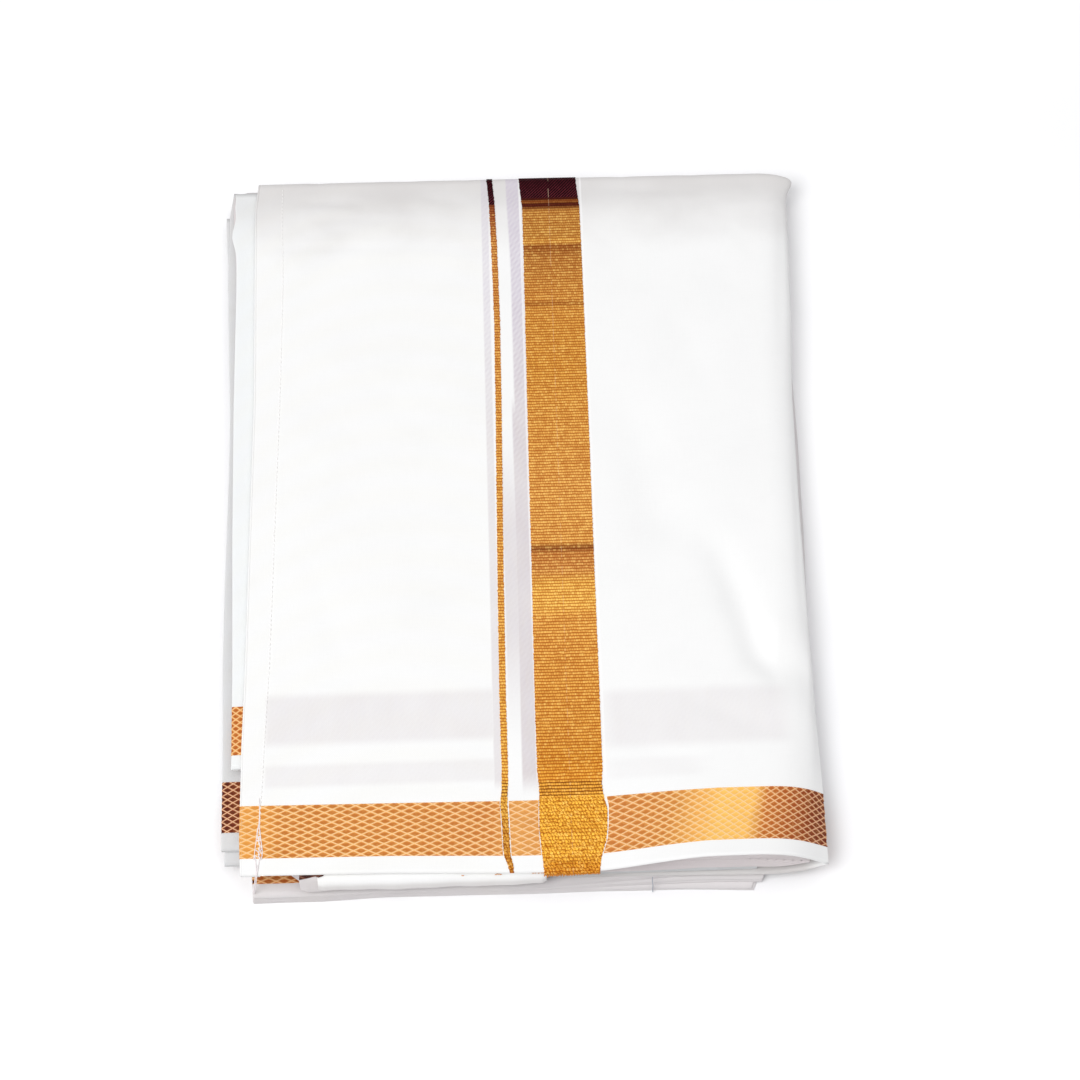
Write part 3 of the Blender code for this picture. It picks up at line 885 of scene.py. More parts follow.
@dataclass(frozen=True)
class ThreadFinish:
    """Twisted sewing thread."""

    name: str
    colour: Colour
    shade: Colour
    metallic: float = 0.0

    def material(self) -> bpy.types.Material:
        """Twist the finish from nodes and return its material."""
        bench = Bench(self.name)
        x, y, z = bench.place()
        twist = ((x + y + z) * (2 * math.pi / 0.5)).sin() * 0.5 + 0.5
        fuzz = bench.noise(x * 6.0, y * 6.0, z * 6.0, 3.0)
        colour = bench.blend(twist * 0.5 + fuzz * 0.35, self.colour, self.shade)
        rough = fuzz * 0.2 + 0.6
        bench.plug(bench.shader, {"Base Color": colour, "Roughness": rough, "Metallic": self.metallic})
        bench.relief(twist, 0.04)
        return bench.material


@dataclass(frozen=True)
class FloorFinish:
    """Plain pale table top."""

    name: str = "pale_floor"
    colour: Colour = tone(252, 252, 252)
    shade: Colour = tone(246, 246, 247)

    def material(self) -> bpy.types.Material:
        """Lay the finish from nodes and return its material."""
        bench = Bench(self.name)
        x, y, _ = bench.place()
        cloudy = bench.noise(x * 0.004, y * 0.004, 0.0, 2.0)
        colour = bench.blend(bench.step(cloudy, 0.3, 0.7), self.colour, self.shade)
        bench.plug(bench.shader, {"Base Color": colour, "Roughness": 0.85, "Specular IOR Level": 0.1})
        return bench.material


class MeshDraft:
    """Points and faces gathered for one mesh, in millimetres."""

    def __init__(self) -> None:
        """Start empty."""
        self.points: list[np.ndarray] = []
        self.cloth: list[np.ndarray] = []
        self.faces: list[np.ndarray] = []
        self.count = 0

    def add(self, points: np.ndarray, cloth: np.ndarray, faces: np.ndarray) -> None:
        """Add points with their places on the cloth, and faces among them.

        Args:
            points: An array of points.
            cloth: The place on the cloth of each point, along and across.
            faces: Rows of four numbers of these points.
        """
        self.points.append(points.reshape(-1, 3))
        self.cloth.append(cloth.reshape(-1, 2))
        self.faces.append(faces + self.count)
        self.count += len(self.points[-1])

    def add_grid(self, points: np.ndarray, cloth: np.ndarray, loop: bool = False, skirt: float = 0.0) -> None:
        """Add a sheet of quads.

        Args:
            points: Rows of points, front to back, each from left to right.
            cloth: The place on the cloth of each point.
            loop: Whether each row closes on itself.
            skirt: How far the rim turns down, so that the sheet's edge is closed.
        """
        if skirt:
            normals = np.pad(grid_normals(points), ((1, 1), (1, 1), (0, 0)), mode="edge")
            points = np.pad(points, ((1, 1), (1, 1), (0, 0)), mode="edge")
            cloth = np.pad(cloth, ((1, 1), (1, 1), (0, 0)), mode="edge")
            rim = np.ones(points.shape[:2])
            rim[1:-1, 1:-1] = 0.0
            points = points - normals * (rim * skirt)[..., None]
        rows, columns = points.shape[:2]
        numbers = np.arange(rows * columns).reshape(rows, columns)
        if loop:
            numbers = np.concatenate([numbers, numbers[:, :1]], axis=1)
        corners = [numbers[:-1, :-1], numbers[:-1, 1:], numbers[1:, 1:], numbers[1:, :-1]]
        self.add(points, cloth, np.stack(corners, axis=-1).reshape(-1, 4))

    def add_tube(self, line: np.ndarray, radius: float, sides: int = 6) -> None:
        """Add a thread along a line, drawn in to a point at its ends.

        Args:
            line: The points of its centre line.
            radius: Its radius.
            sides: How many sides it has.
        """
        along = np.gradient(line, axis=0)
        along /= np.maximum(np.linalg.norm(along, axis=1, keepdims=True), 1e-9)
        side = np.cross(along, np.array([0.02, 0.05, 1.0]))
        side /= np.maximum(np.linalg.norm(side, axis=1, keepdims=True), 1e-9)
        up = np.cross(side, along)
        turns = np.arange(sides) * 2 * math.pi / sides
        ring = np.cos(turns)[None, :, None] * side[:, None] + np.sin(turns)[None, :, None] * up[:, None]
        girth = np.ones(len(line))
        girth[[0, -1]] = 0.25
        points = line[:, None] + ring * (girth * radius)[:, None, None]
        places = np.repeat(np.arange(len(line), dtype=float)[:, None], sides, axis=1)
        self.add_grid(points, np.stack([places, places], axis=-1), loop=True)

    def make(self, name: str, material: bpy.types.Material, wall: float = 0.0) -> bpy.types.Object:
        """Make the object.

        Args:
            name: The piece's name.
            material: Its finish.
            wall: The thickness that the sheet gets, inside its points.

        Returns:
            The object, in the scene.
        """
        mesh = bpy.data.meshes.new(name)
        mesh.from_pydata((np.vstack(self.points) * MM).tolist(), [], np.vstack(self.faces).tolist())
        mesh.materials.append(material)
        cloth = np.vstack(self.cloth)
        values = np.zeros((len(cloth), 3), dtype=np.float32)
        values[:, :2] = cloth
        mesh.attributes.new("cloth", "FLOAT_VECTOR", "POINT").data.foreach_set("vector", values.ravel())
        mesh.shade_smooth()
        mesh.set_sharp_from_angle(angle=math.radians(60))
        piece = bpy.data.objects.new(name, mesh)
        bpy.context.scene.collection.objects.link(piece)
        if wall:
            solidify = piece.modifiers.new("wall", "SOLIDIFY")
            solidify.thickness = wall * MM
            solidify.offset = -1
        return piece


def settle(piece: bpy.types.Object, slot: Slot, *nodes: str) -> bpy.types.Object:
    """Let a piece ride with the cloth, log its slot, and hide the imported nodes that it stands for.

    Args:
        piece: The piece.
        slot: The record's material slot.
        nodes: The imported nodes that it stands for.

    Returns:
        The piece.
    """
    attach(piece, "root")
    if nodes:
        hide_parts(*nodes)
    LOG.info("%s: %d faces, slot %s", piece.name, len(piece.data.polygons), slot.value)
    return piece


@dataclass
class CoverForm:
    """The outermost panel's outer face, and every place inside it."""

    step: float = 0.004
    lengths: np.ndarray = field(default_factory=lambda: np.zeros(0))
    paths: np.ndarray = field(default_factory=lambda: np.linspace(0.0, 4.0, 1601))

    def __post_init__(self) -> None:
        """Measure the path's length at the middle of the border."""
        y = np.full(self.paths.shape, FRONT_Y + SELVEDGE + BORDER / 2)
        x, z = self.section(self.paths, y)
        steps = np.hypot(np.diff(x), np.diff(z))
        self.lengths = np.concatenate([[0.0], np.cumsum(steps)])

    def height(self, x: Any, y: Any) -> Any:
        """Height of the top, with its arch and its creases.

        Args:
            x: The places across.
            y: The places from front to back.

        Returns:
            The height.
        """
        crest = smooth((x - ARCH_START_X) / (ARCH_CREST_X - ARCH_START_X))
        arch = ARCH_RISE * crest * np.exp(-np.maximum(y - FRONT_Y, 0.0) / ARCH_FADE)
        dips = 2.1 * (trough_depth(CRESCENT, x, y) + trough_depth(LONG_DIP, x, y))
        return COVER_Z + arch - dips - 1.5 * crease_depth(TOP_CREASES, x, y)

    def section(self, path: Any, y: Any) -> tuple[Any, Any]:
        """Place of the outer face on its cross-section.

        Args:
            path: Places along the path.
            y: Places from front to back.

        Returns:
            The x and z there.
        """
        left = read(LEFT_EDGES, "y", "cover_x", y)
        tip_x, tip_z = read(FOLDS, "y", "tip_x", y), read(FOLDS, "y", "tip_z", y)
        top_x, under_x = read(FOLDS, "y", "top_x", y), read(FOLDS, "y", "under_x", y)
        slant = read(FOLDS, "y", "slant", y)
        x_top = mix(left, top_x, path)
        top_z = self.height(top_x, y)
        reach, drop = tip_x - top_x, top_z - tip_z
        upper = bezier(
            (top_x, top_x + FOLD_REACH * reach, tip_x - slant * reach, tip_x),
            (top_z, top_z, tip_z + FOLD_DROP * drop, tip_z),
            path - 1,
        )
        reach, drop = tip_x - under_x, tip_z - RETURN_Z
        lower = bezier(
            (tip_x, tip_x - slant * reach, under_x + FOLD_REACH * reach, under_x),
            (tip_z, tip_z - FOLD_DROP * drop, RETURN_Z + 0 * tip_z, RETURN_Z + 0 * tip_z),
            path - 2,
        )
        stretches = [path <= 1, path <= 2, path <= 3]
        x = np.select(stretches, [x_top, upper[0], lower[0]], mix(under_x, RETURN_LEFT_X, path - 3))
        z = np.select(stretches, [self.height(x_top, y), upper[1], lower[1]], RETURN_Z)
        return x, z

    def surface(self, path: Any, run: Any) -> np.ndarray:
        """The outer face at places.

        Args:
            path: Places along the path.
            run: Places from the front edge to the back and round the roll.

        Returns:
            The points, in the last axis.
        """
        path, run = np.broadcast_arrays(np.asarray(path, float), np.asarray(run, float))
        front_y = read(FRONT_EDGES, "path", "y", path)
        roll_y = read(ROLLS, "path", "centre_y", path)
        radius = read(ROLLS, "path", "radius", path)
        slump = read(ROLLS, "path", "slump", path) * SLUMP
        flat_y = mix(front_y, roll_y, np.minimum(run, 1.0))
        angle = ROLL_SWEEP * np.maximum(run - 1.0, 0.0)
        x, z = self.section(path, flat_y)
        x0, z0 = self.section(np.maximum(path - 0.01, -0.1), flat_y)
        x1, z1 = self.section(np.minimum(path + 0.01, 4.0), flat_y)
        length = np.maximum(np.hypot(x1 - x0, z1 - z0), 1e-9)
        inward = ((z1 - z0) / length, (x0 - x1) / length)
        depth = slump * smooth((flat_y - SLUMP_START_Y) / (roll_y - SLUMP_START_Y))
        depth = depth + radius * (1 - np.cos(angle))
        depth = depth + crease_depth(FOLD_CREASES, path, flat_y, 0.006)
        depth = depth + crease_depth(ROLL_CREASES, x, run, 20.0) * smooth((1.15 - path) / 0.15)
        places = (x + inward[0] * depth, flat_y + radius * np.sin(angle), z + inward[1] * depth)
        return np.stack(places, axis=-1)

    def points(self, path: Any, run: Any, depth: Any = 0.0) -> np.ndarray:
        """Points a depth inside the outer face, or outside it where the depth is negative.

        Args:
            path: Places along the path.
            run: Places from front to back.
            depth: The depth at each.

        Returns:
            The points, in the last axis.
        """
        path, run = np.broadcast_arrays(np.asarray(path, float), np.asarray(run, float))
        step = self.step
        along = self.surface(np.minimum(path + step, 4.0), run) - self.surface(path - step, run)
        across = self.surface(path, run + step) - self.surface(path, np.maximum(run - step, 0.0))
        normal = np.cross(along, across)
        normal /= np.maximum(np.linalg.norm(normal, axis=-1, keepdims=True), 1e-9)
        return self.surface(path, run) - normal * np.broadcast_to(depth, path.shape)[..., None]

    def path_at(self, x: Any, y: Any) -> Any:
        """Path of places on the top."""
        left = read(LEFT_EDGES, "y", "cover_x", y)
        return (x - left) / (read(FOLDS, "y", "top_x", y) - left)

    def run_at(self, from_front: Any, path: Any) -> Any:
        """Run of places on the cover.

        Args:
            from_front: Their distance along the cloth from the front edge.
            path: Their path.

        Returns:
            The run.
        """
        front_y = read(FRONT_EDGES, "path", "y", path)
        flat = read(ROLLS, "path", "centre_y", path) - front_y
        curve = read(ROLLS, "path", "radius", path) * ROLL_SWEEP
        return np.where(from_front <= flat, from_front / flat, 1 + (from_front - flat) / curve)

    def length_at(self, path: Any) -> Any:
        """Distance along the cloth from the left edge."""
        return np.interp(path, self.paths, self.lengths)

    def path_of(self, length: Any) -> Any:
        """Path at a distance along the cloth from the left edge."""
        return np.interp(length, self.lengths, self.paths)

    def across_grid(self, x: np.ndarray, from_front: np.ndarray) -> tuple[np.ndarray, np.ndarray]:
        """Path and run of places on the top, given in millimetres.

        Args:
            x: Places across, in the model's frame.
            from_front: Distances from the front edge.

        Returns:
            The path and the run of each.
        """
        y = np.minimum(FRONT_Y + from_front, 163.0)
        path = self.path_at(x, y)
        front_y, roll_y = read(FRONT_EDGES, "path", "y", path), read(ROLLS, "path", "centre_y", path)
        path = self.path_at(x, np.minimum(front_y + from_front, roll_y))
        return path, self.run_at(from_front, path)


def bezier(xs: Sequence[Any], zs: Sequence[Any], share: Any) -> tuple[Any, Any]:
    """Points on cubic curves.

    Args:
        xs: The x of the four control points.
        zs: The z of the four control points.
        share: Places along the curves, from 0 to 1.

    Returns:
        The x and z there.
    """
    share = np.clip(share, 0.0, 1.0)
    rest = 1 - share
    weights = (rest**3, 3 * share * rest**2, 3 * share**2 * rest, share**3)
    return sum(w * c for w, c in zip(weights, xs)), sum(w * c for w, c in zip(weights, zs))


def hem_room(x: Any, y: Any) -> Any:
    """Share of a ply step that the hem takes under the cover."""
    return 1 - smooth((x - read(LEFT_EDGES, "y", "hem_x", y) - 3.0) / 10.0)


def second_room(x: Any, y: Any) -> Any:
    """Share of a ply step that the second ply takes under the cover."""
    return 1 - smooth((np.maximum(SECOND_FRONT_Y - y, x - SECOND_RIGHT_X) - 9.0) / 8.0)


@dataclass
class Cover:
    """The outermost panel, with its stitched hem."""

    form: CoverForm
    finish: CottonFinish
    sheet: float = COTTON_SHEET
    edge_radius: float = HEM_RADIUS
    stitch_pitch: float = 2.2
    stitch_length: float = 1.45
    stitch_radius: float = 0.16
    material: bpy.types.Material | None = None

    def build(self) -> list[bpy.types.Object]:
        """Build the panel, its hem and its stitches, and return them."""
        self.material = self.finish.material()
        return [self.build_panel(), self.build_hem(), self.build_stitches()]

    def stations(self) -> tuple[np.ndarray, np.ndarray]:
        """Paths and runs of the panel's grid, closer at the hem, the fold and the roll."""
        over = spread((0.003, 0.075, 22), (0.085, 0.99, 104), (1.0, 3.0, 37))
        back = (3.06, 3.16, 3.3, 3.5, 3.7, 3.82, 3.9, 3.96, 4.0)
        runs = spread((0.0, 0.05, 12), (0.06, 0.88, 104), (0.89, 0.995, 18), (1.0, 2.0, 14))
        return np.concatenate([over, back]), runs

    def build_panel(self) -> bpy.types.Object:
        """Build the panel over the top, round the fold and back under the stack."""
        paths, runs = self.stations()
        path, run = np.meshgrid(paths, runs)
        seam_x = read(LEFT_EDGES, "y", "hem_x", mix(FRONT_Y, 165.0, np.minimum(run, 1.0)))
        plain = self.form.surface(path, run)
        pull = np.exp(-(((plain[..., 0] - seam_x) / 0.7) ** 2)) * (path < 1) * 0.08
        points = self.form.points(path, run, pull)
        cloth = np.stack([self.form.length_at(path), run * TOP_LENGTH], axis=-1)
        draft = MeshDraft()
        draft.add_grid(points, cloth)
        return settle(draft.make("cover_cloth", self.material, self.sheet), Slot.WHITE, "cover")

    def build_hem(self) -> bpy.types.Object:
        """Build the end that turns under at the left, with a rounded edge."""
        radius = self.edge_radius
        runs = np.concatenate([np.linspace(0.0, 1.0, 130), [1.1, 1.2, 1.3]])
        y = mix(-166.3, 165.7, np.minimum(runs, 1.0))
        turn = np.linspace(0.0, math.pi, 9)
        start = self.form.path_at(read(LEFT_EDGES, "y", "cover_x", y) + radius, y)
        seam = self.form.path_at(read(LEFT_EDGES, "y", "hem_x", y) + 0.8, y)
        paths, depths, lengths = [], [], []
        for angle in turn:
            paths.append(start - radius * math.sin(angle) / TOP_WIDTH)
            depths.append(np.full(len(runs), radius * (1 - math.cos(angle))))
            lengths.append(np.full(len(runs), radius - radius * angle))
        for share in np.linspace(0.12, 1.0, 8):
            paths.append(mix(start, seam, share))
            depths.append(np.full(len(runs), 2 * radius + 0.02 * share))
            lengths.append(-9.0 * share - radius)
        lengths = [np.broadcast_to(length, (len(runs),)) for length in lengths]
        path, depth = np.stack(paths, axis=1), np.stack(depths, axis=1)
        run = np.repeat(runs[:, None], path.shape[1], axis=1)
        points = self.form.points(path, run, depth)
        draft = MeshDraft()
        cloth = np.stack([np.stack(lengths, axis=1), run * TOP_LENGTH], axis=-1)
        draft.add_grid(points[:, ::-1], cloth[:, ::-1])
        return settle(draft.make("hem_turn", self.material, 0.34), Slot.WHITE, "hem")

    def build_stitches(self) -> bpy.types.Object:
        """Sew the running stitches along the hem."""
        draft = MeshDraft()
        random = np.random.default_rng(11)
        count = int((TOP_LENGTH - SELVEDGE) / self.stitch_pitch)
        for number in range(count):
            middle = SELVEDGE + 2.0 + number * self.stitch_pitch + random.normal(0, 0.08)
            lean = random.normal(0, 0.07)
            spots = np.linspace(-0.5, 0.5, 7)
            from_front = middle + spots * self.stitch_length * (1 + random.normal(0, 0.05))
            seam = read(LEFT_EDGES, "y", "hem_x", FRONT_Y + from_front)
            path, run = self.form.across_grid(seam + lean * spots, from_front)
            sunk = 0.08 - 0.20 * np.cos(spots * math.pi) ** 0.6
            draft.add_tube(self.form.points(path, run, sunk), self.stitch_radius)
        thread = ThreadFinish("hem_thread", tone(250, 249, 247), tone(240, 237, 234))
        return settle(draft.make("hem_stitches", thread.material()), Slot.THREAD)


@dataclass
class LooseThread:
    """The tangle of sewing thread where the hem's seam ends, and its tail."""

    form: CoverForm
    radius: float = 0.21
    stray_radius: float = 0.2

    # Strands over the cover, as places in x and distance from the front edge
    strands: tuple[tuple[tuple[float, float], ...], ...] = (
        ((-105.0, 33.0), (-104.8, 26.0), (-105.0, 21.5), (-105.9, 15.0), (-106.4, 9.6), (-106.8, 6.6)),
        ((-104.9, 31.0), (-104.7, 26.0), (-104.7, 21.0), (-104.1, 15.5), (-103.4, 9.6), (-103.9, 6.4)),
        ((-104.9, 22.0), (-105.6, 18.0), (-105.0, 15.0), (-104.3, 12.0), (-104.9, 9.0), (-104.4, 7.0)),
        ((-105.8, 15.0), (-104.9, 14.6), (-104.2, 15.4), (-104.6, 16.6), (-105.2, 15.8)),
        ((-106.3, 11.0), (-105.4, 10.2), (-104.5, 9.0), (-105.2, 7.8), (-106.2, 8.6)),
        ((-104.0, 12.4), (-103.6, 11.4), (-104.1, 10.2), (-103.4, 8.6)),
        ((-106.4, 9.0), (-105.9, 5.0), (-105.6, 1.6), (-105.9, -0.4)),
        ((-104.2, 8.0), (-104.9, 4.4), (-105.2, 1.4), (-105.5, -0.3)),
    )

    # The tail below the hem and the stray end further right, in the model's frame
    tail: tuple[tuple[float, float, float], ...] = (
        (-105.9, -166.7, 17.1),
        (-106.2, -167.4, 15.6),
        (-106.6, -167.9, 13.0),
        (-107.1, -168.0, 10.0),
        (-107.7, -168.4, 7.4),
        (-108.0, -169.0, 5.4),
    )
    stray: tuple[tuple[float, float, float], ...] = (
        (48.3, -168.6, 8.6),
        (48.2, -169.6, 6.6),
        (48.4, -170.4, 4.4),
        (48.3, -171.1, 2.2),
        (48.4, -171.6, 0.3),
    )

    def build(self) -> bpy.types.Object:
        """Lay the strands on the cloth and hang their ends over the front edge."""
        draft = MeshDraft()
        for number, strand in enumerate(self.strands):
            smooth_line = curve_through(np.array(strand), 6)
            path, run = self.form.across_grid(smooth_line[:, 0], np.maximum(smooth_line[:, 1], 0.0))
            lift = 0.22 + 0.10 * np.sin(np.arange(len(path)) * 0.9 + number)
            points = self.form.points(path, run, -lift)
            points[:, 1] += np.minimum(smooth_line[:, 1], 0.0)
            draft.add_tube(points, self.radius * (0.8 + 0.08 * (number % 4)))
        for shift in (0.0, 0.5):
            tail = np.array(self.tail) + (shift, 0.1 * shift, 0.0)
            draft.add_tube(curve_through(tail, 5), self.radius)
        thread = ThreadFinish("loose_thread", tone(250, 246, 246), tone(226, 212, 214))
        return settle(draft.make("thread_tangle", thread.material()), Slot.THREAD)

    def build_stray(self) -> bpy.types.Object:
        """Hang one short grey thread end over the base's front."""
        draft = MeshDraft()
        draft.add_tube(curve_through(np.array(self.stray), 4), self.stray_radius)
        grey = ThreadFinish("grey_thread", tone(176, 180, 188), tone(150, 154, 164))
        return settle(draft.make("stray_thread", grey.material()), Slot.THREAD)


def curve_through(spots: np.ndarray, steps: int) -> np.ndarray:
    """A smooth curve through spots.

    Args:
        spots: The spots, row by row.
        steps: How many points each stretch gets.

    Returns:
        The curve's points.
    """
    padded = np.vstack([2 * spots[0] - spots[1], spots, 2 * spots[-1] - spots[-2]])
    line = []
    for a, b, c, d in zip(padded, padded[1:], padded[2:], padded[3:]):
        for t in np.arange(steps) / steps:
            bend = (2 * a - 5 * b + 4 * c - d) * t**2 + (3 * b - a - 3 * c + d) * t**3
            line.append(0.5 * (2 * b + (c - a) * t + bend))
    return np.vstack([*line, spots[-1]])


def lozenge_relief(along: np.ndarray, across: np.ndarray, height: float, pitch: float) -> np.ndarray:
    """Height of the border's net over its lozenges.

    Args:
        along: Places along the weave.
        across: Places across it.
        height: How far the net stands out.
        pitch: The length of a lozenge.

    Returns:
        The heights.
    """
    one = along / pitch + across / LOZENGE_SHORT
    two = along / pitch - across / LOZENGE_SHORT
    edge = np.maximum(abs(one % 1.0 - 0.5), abs(two % 1.0 - 0.5))
    return height * smooth((edge - 0.22) / 0.2)


@dataclass
class CoverBorder:
    """The cover's woven gold border, from the hem round the right fold."""

    form: CoverForm
    finish: NetFinish
    lift: float = 0.05
    relief: float = 0.11
    column: float = 0.40
    row: float = 0.23
    margin: float = 0.42
    last_path: float = 3.25

    def build(self) -> list[bpy.types.Object]:
        """Weave the border in three stretches and round the hem's edge, and return them."""
        material = self.finish.material()
        draft = MeshDraft()
        first = np.arange(SELVEDGE, SELVEDGE + BORDER + 0.01, self.row)
        y = FRONT_Y - 1.0 + first
        left = np.full(len(first), 0.9)
        stripe_left = self.length_to(read(STRIPE_EDGES, "y", "left", y) - self.margin, first)
        stripe_right = self.length_to(read(STRIPE_EDGES, "y", "right", y) + self.margin, first)
        band_left = self.length_to(read(BAND_EDGES, "y", "left", y) - self.margin, first)
        band_right = self.length_to(read(BAND_EDGES, "y", "right", y) + self.margin, first)
        last = np.full(len(first), self.form.length_at(self.last_path))
        for low, high in ((left, stripe_left), (stripe_right, band_left), (band_right, last)):
            self.add_stretch(draft, first, low, high)
        net = settle(draft.make("border_net", material), Slot.GOLD)
        return [net, self.build_turn(material, first)]

    def length_to(self, x: np.ndarray, from_front: np.ndarray) -> np.ndarray:
        """Distance along the cloth to places on the top."""
        return self.form.length_at(self.form.across_grid(x, from_front)[0])

    def add_stretch(self, draft: MeshDraft, first: np.ndarray, low: np.ndarray, high: np.ndarray) -> None:
        """Add one stretch.

        Args:
            draft: The mesh that it goes into.
            first: Distances from the front edge, row by row.
            low: Where each row starts, from the left edge.
            high: Where each row ends.
        """
        columns = max(int((high - low).max() / self.column), 2)
        share = np.linspace(0.0, 1.0, columns)[None, :]
        along = mix(low[:, None], high[:, None], share)
        across = np.repeat(first[:, None], columns, axis=1)
        path = self.form.path_of(along)
        wider = 1 + read(BORDER_SWELL, "along", "share", along)
        run = self.form.run_at(SELVEDGE + (across - SELVEDGE) * wider, path)
        raised = self.lift + lozenge_relief(self.woven(along), across, self.relief, LOZENGE_LONG)
        points = self.form.points(path, run, -raised)
        draft.add_grid(points, np.stack([self.woven(along), across], axis=-1), skirt=0.2)

    def woven(self, along: np.ndarray) -> np.ndarray:
        """Place along the weave, whose lozenges get shorter towards the right fold."""
        return along + 0.005 * np.clip(along - 150.0, 0.0, 45.0) ** 2 + 0.45 * np.maximum(along - 195.0, 0.0)

    def build_turn(self, material: bpy.types.Material, first: np.ndarray) -> bpy.types.Object:
        """Wrap the border round the hem's rounded edge."""
        radius = HEM_RADIUS
        rows = first[::2]
        y = FRONT_Y + rows
        turn = np.linspace(-0.35, math.pi + 0.2, 12)
        start = self.form.path_at(read(LEFT_EDGES, "y", "cover_x", y) + radius, y)
        path = np.stack([start - (radius + 0.05) * math.sin(a) / TOP_WIDTH for a in turn], axis=1)
        depth = np.stack([np.full(len(y), radius - (radius + 0.06) * math.cos(a)) for a in turn], axis=1)
        run = np.repeat(self.form.run_at(rows, start)[:, None], len(turn), axis=1)
        along = np.repeat((0.9 - radius * turn)[None, :], len(y), axis=0)
        points = self.form.points(path, run, depth)
        draft = MeshDraft()
        cloth = np.stack([abs(along), np.repeat(rows[:, None], len(turn), axis=1)], axis=-1)
        draft.add_grid(points[:, ::-1], cloth[:, ::-1])
        return settle(draft.make("border_hem_turn", material), Slot.GOLD)


@dataclass
class EndBand:
    """The gold end band and the thin stripe beside it, from the front edge round the roll."""

    form: CoverForm
    band_finish: BandFinish
    stripe_finish: BandFinish
    lift: float = 0.10
    rib: float = 0.17
    length: float = 341.0
    seed: int = 5

    def build(self) -> list[bpy.types.Object]:
        """Weave the band, the stripe and their ends, and return them."""
        material = self.band_finish.material()
        band = MeshDraft()
        wheat_rows = np.arange(-1.9, WHEAT_END + 1, 0.26)
        dash_rows = np.arange(WHEAT_END + 1.2, self.length, ROW / 4)
        self.add_strip(band, BAND_EDGES, np.concatenate([wheat_rows, dash_rows]), 78)
        stripe = MeshDraft()
        self.add_strip(stripe, STRIPE_EDGES, np.arange(-0.2, self.length, ROW / 4), 9)
        return [
            settle(band.make("end_band", material), Slot.GOLD),
            settle(stripe.make("end_stripe", self.stripe_finish.material()), Slot.GOLD),
            self.build_ends(),
        ]

    def add_strip(self, draft: MeshDraft, edges: Sequence[Width], across: np.ndarray, columns: int) -> None:
        """Add one strip between two edges.

        Args:
            draft: The mesh that it goes into.
            edges: The strip's edges by y.
            across: Distances from the front edge, row by row.
            columns: How many points a row has.
        """
        y = FRONT_Y - 1.0 + across
        random = np.random.default_rng(self.seed)
        ragged = random.normal(0, 0.09, (2, len(across)))
        left = read(edges, "y", "left", y) + ragged[0]
        right = read(edges, "y", "right", y) + ragged[1]
        share = np.linspace(0.0, 1.0, columns)[None, :]
        x = mix(left[:, None], right[:, None], share)
        from_front = np.repeat(across[:, None], columns, axis=1)
        path, run = self.form.across_grid(x, np.maximum(from_front, 0.0))
        along = x - left.mean()
        raised = self.lift + self.rib_height(along, from_front)
        points = self.form.points(path, run, -raised)
        over = np.maximum(-from_front, 0.0) * mix(1.0, 0.55, share)
        points[..., 1] -= 0.75 * np.minimum(over, 0.8)
        points[..., 2] -= over * (1.15 + 0.12 * np.sin(x * 2.1)) - 0.1 * np.minimum(over, 0.8)
        draft.add_grid(points, np.stack([along, from_front], axis=-1), skirt=0.22)

    def rib_height(self, along: np.ndarray, across: np.ndarray) -> np.ndarray:
        """Height of the rows of dashes, the bold ribs and the slanted stitches.

        Args:
            along: Places across the strip.
            across: Distances from the front edge.

        Returns:
            The heights.
        """
        row = across / ROW
        dash = along / DASH + np.floor(row) * 0.37
        crest = np.sin(np.pi * (row % 1))
        ribs = self.rib * crest * (0.55 + 0.45 * np.sin(np.pi * (dash % 1)))
        bold = smooth((across - WHEAT_END) / 0.6) * (1 - smooth((across - BOLD_END) / 0.8))
        ribs = ribs * (1 + 0.8 * bold)
        row = across / WHEAT
        number = np.floor(row)
        cell = (along + (row % 1 - 0.5) * 0.5) / 1.1 + number * 0.5 + 0.3 * np.sin(number * 2.4)
        grains = np.sin(np.pi * (cell % 1)) * np.sin(np.pi * (row % 1)) ** 0.6
        uneven = 0.75 + 0.25 * np.sin(along * 1.9 + number * 1.1) * np.sin(along * 0.6 - across * 0.8)
        wheat = smooth((across - WHEAT_START) / 0.8) * (1 - smooth((across - WHEAT_END) / 0.8))
        return mix(ribs, 0.44 * grains * uneven, wheat)

    def build_ends(self) -> bpy.types.Object:
        """Let the cut ends of the gold threads stand out under the front edge."""
        draft = MeshDraft()
        random = np.random.default_rng(17)
        for x in np.linspace(6.3, 27.7, 78):
            x = x + random.normal(0, 0.12)
            rise = mix(1.0, 0.5, (x - 6.3) / 21.4)
            path, run = self.form.across_grid(np.array([x]), np.array([0.3]))
            start = self.form.points(path, run, -0.1)[0] + (0.0, -0.9, -random.uniform(0.6, 1.9) * rise)
            reach = random.uniform(0.6, 1.4) * rise
            sway = random.normal(0, 0.35)
            middle = start + (sway * 0.4, -0.25 * reach, -0.5 * reach)
            end = start + (sway, -0.3 * reach, -reach)
            draft.add_tube(curve_through(np.array([start, middle, end]), 3), 0.24, 5)
        for x in (-26.0, -13.2, -12.3, -11.4, 1.2, 2.2, 3.4, 4.6, 5.4):
            flat = np.array([(x, -168.7, 16.5), (x + 0.5, -168.9, 16.35), (x + 1.0, -168.8, 16.4)])
            draft.add_tube(curve_through(flat + random.normal(0, 0.06, (3, 3)), 3), 0.17, 5)
        gold = ThreadFinish("gold_thread_ends", tone(236, 160, 52), tone(150, 80, 22), 0.2)
        return settle(draft.make("gold_thread_ends", gold.material()), Slot.GOLD)


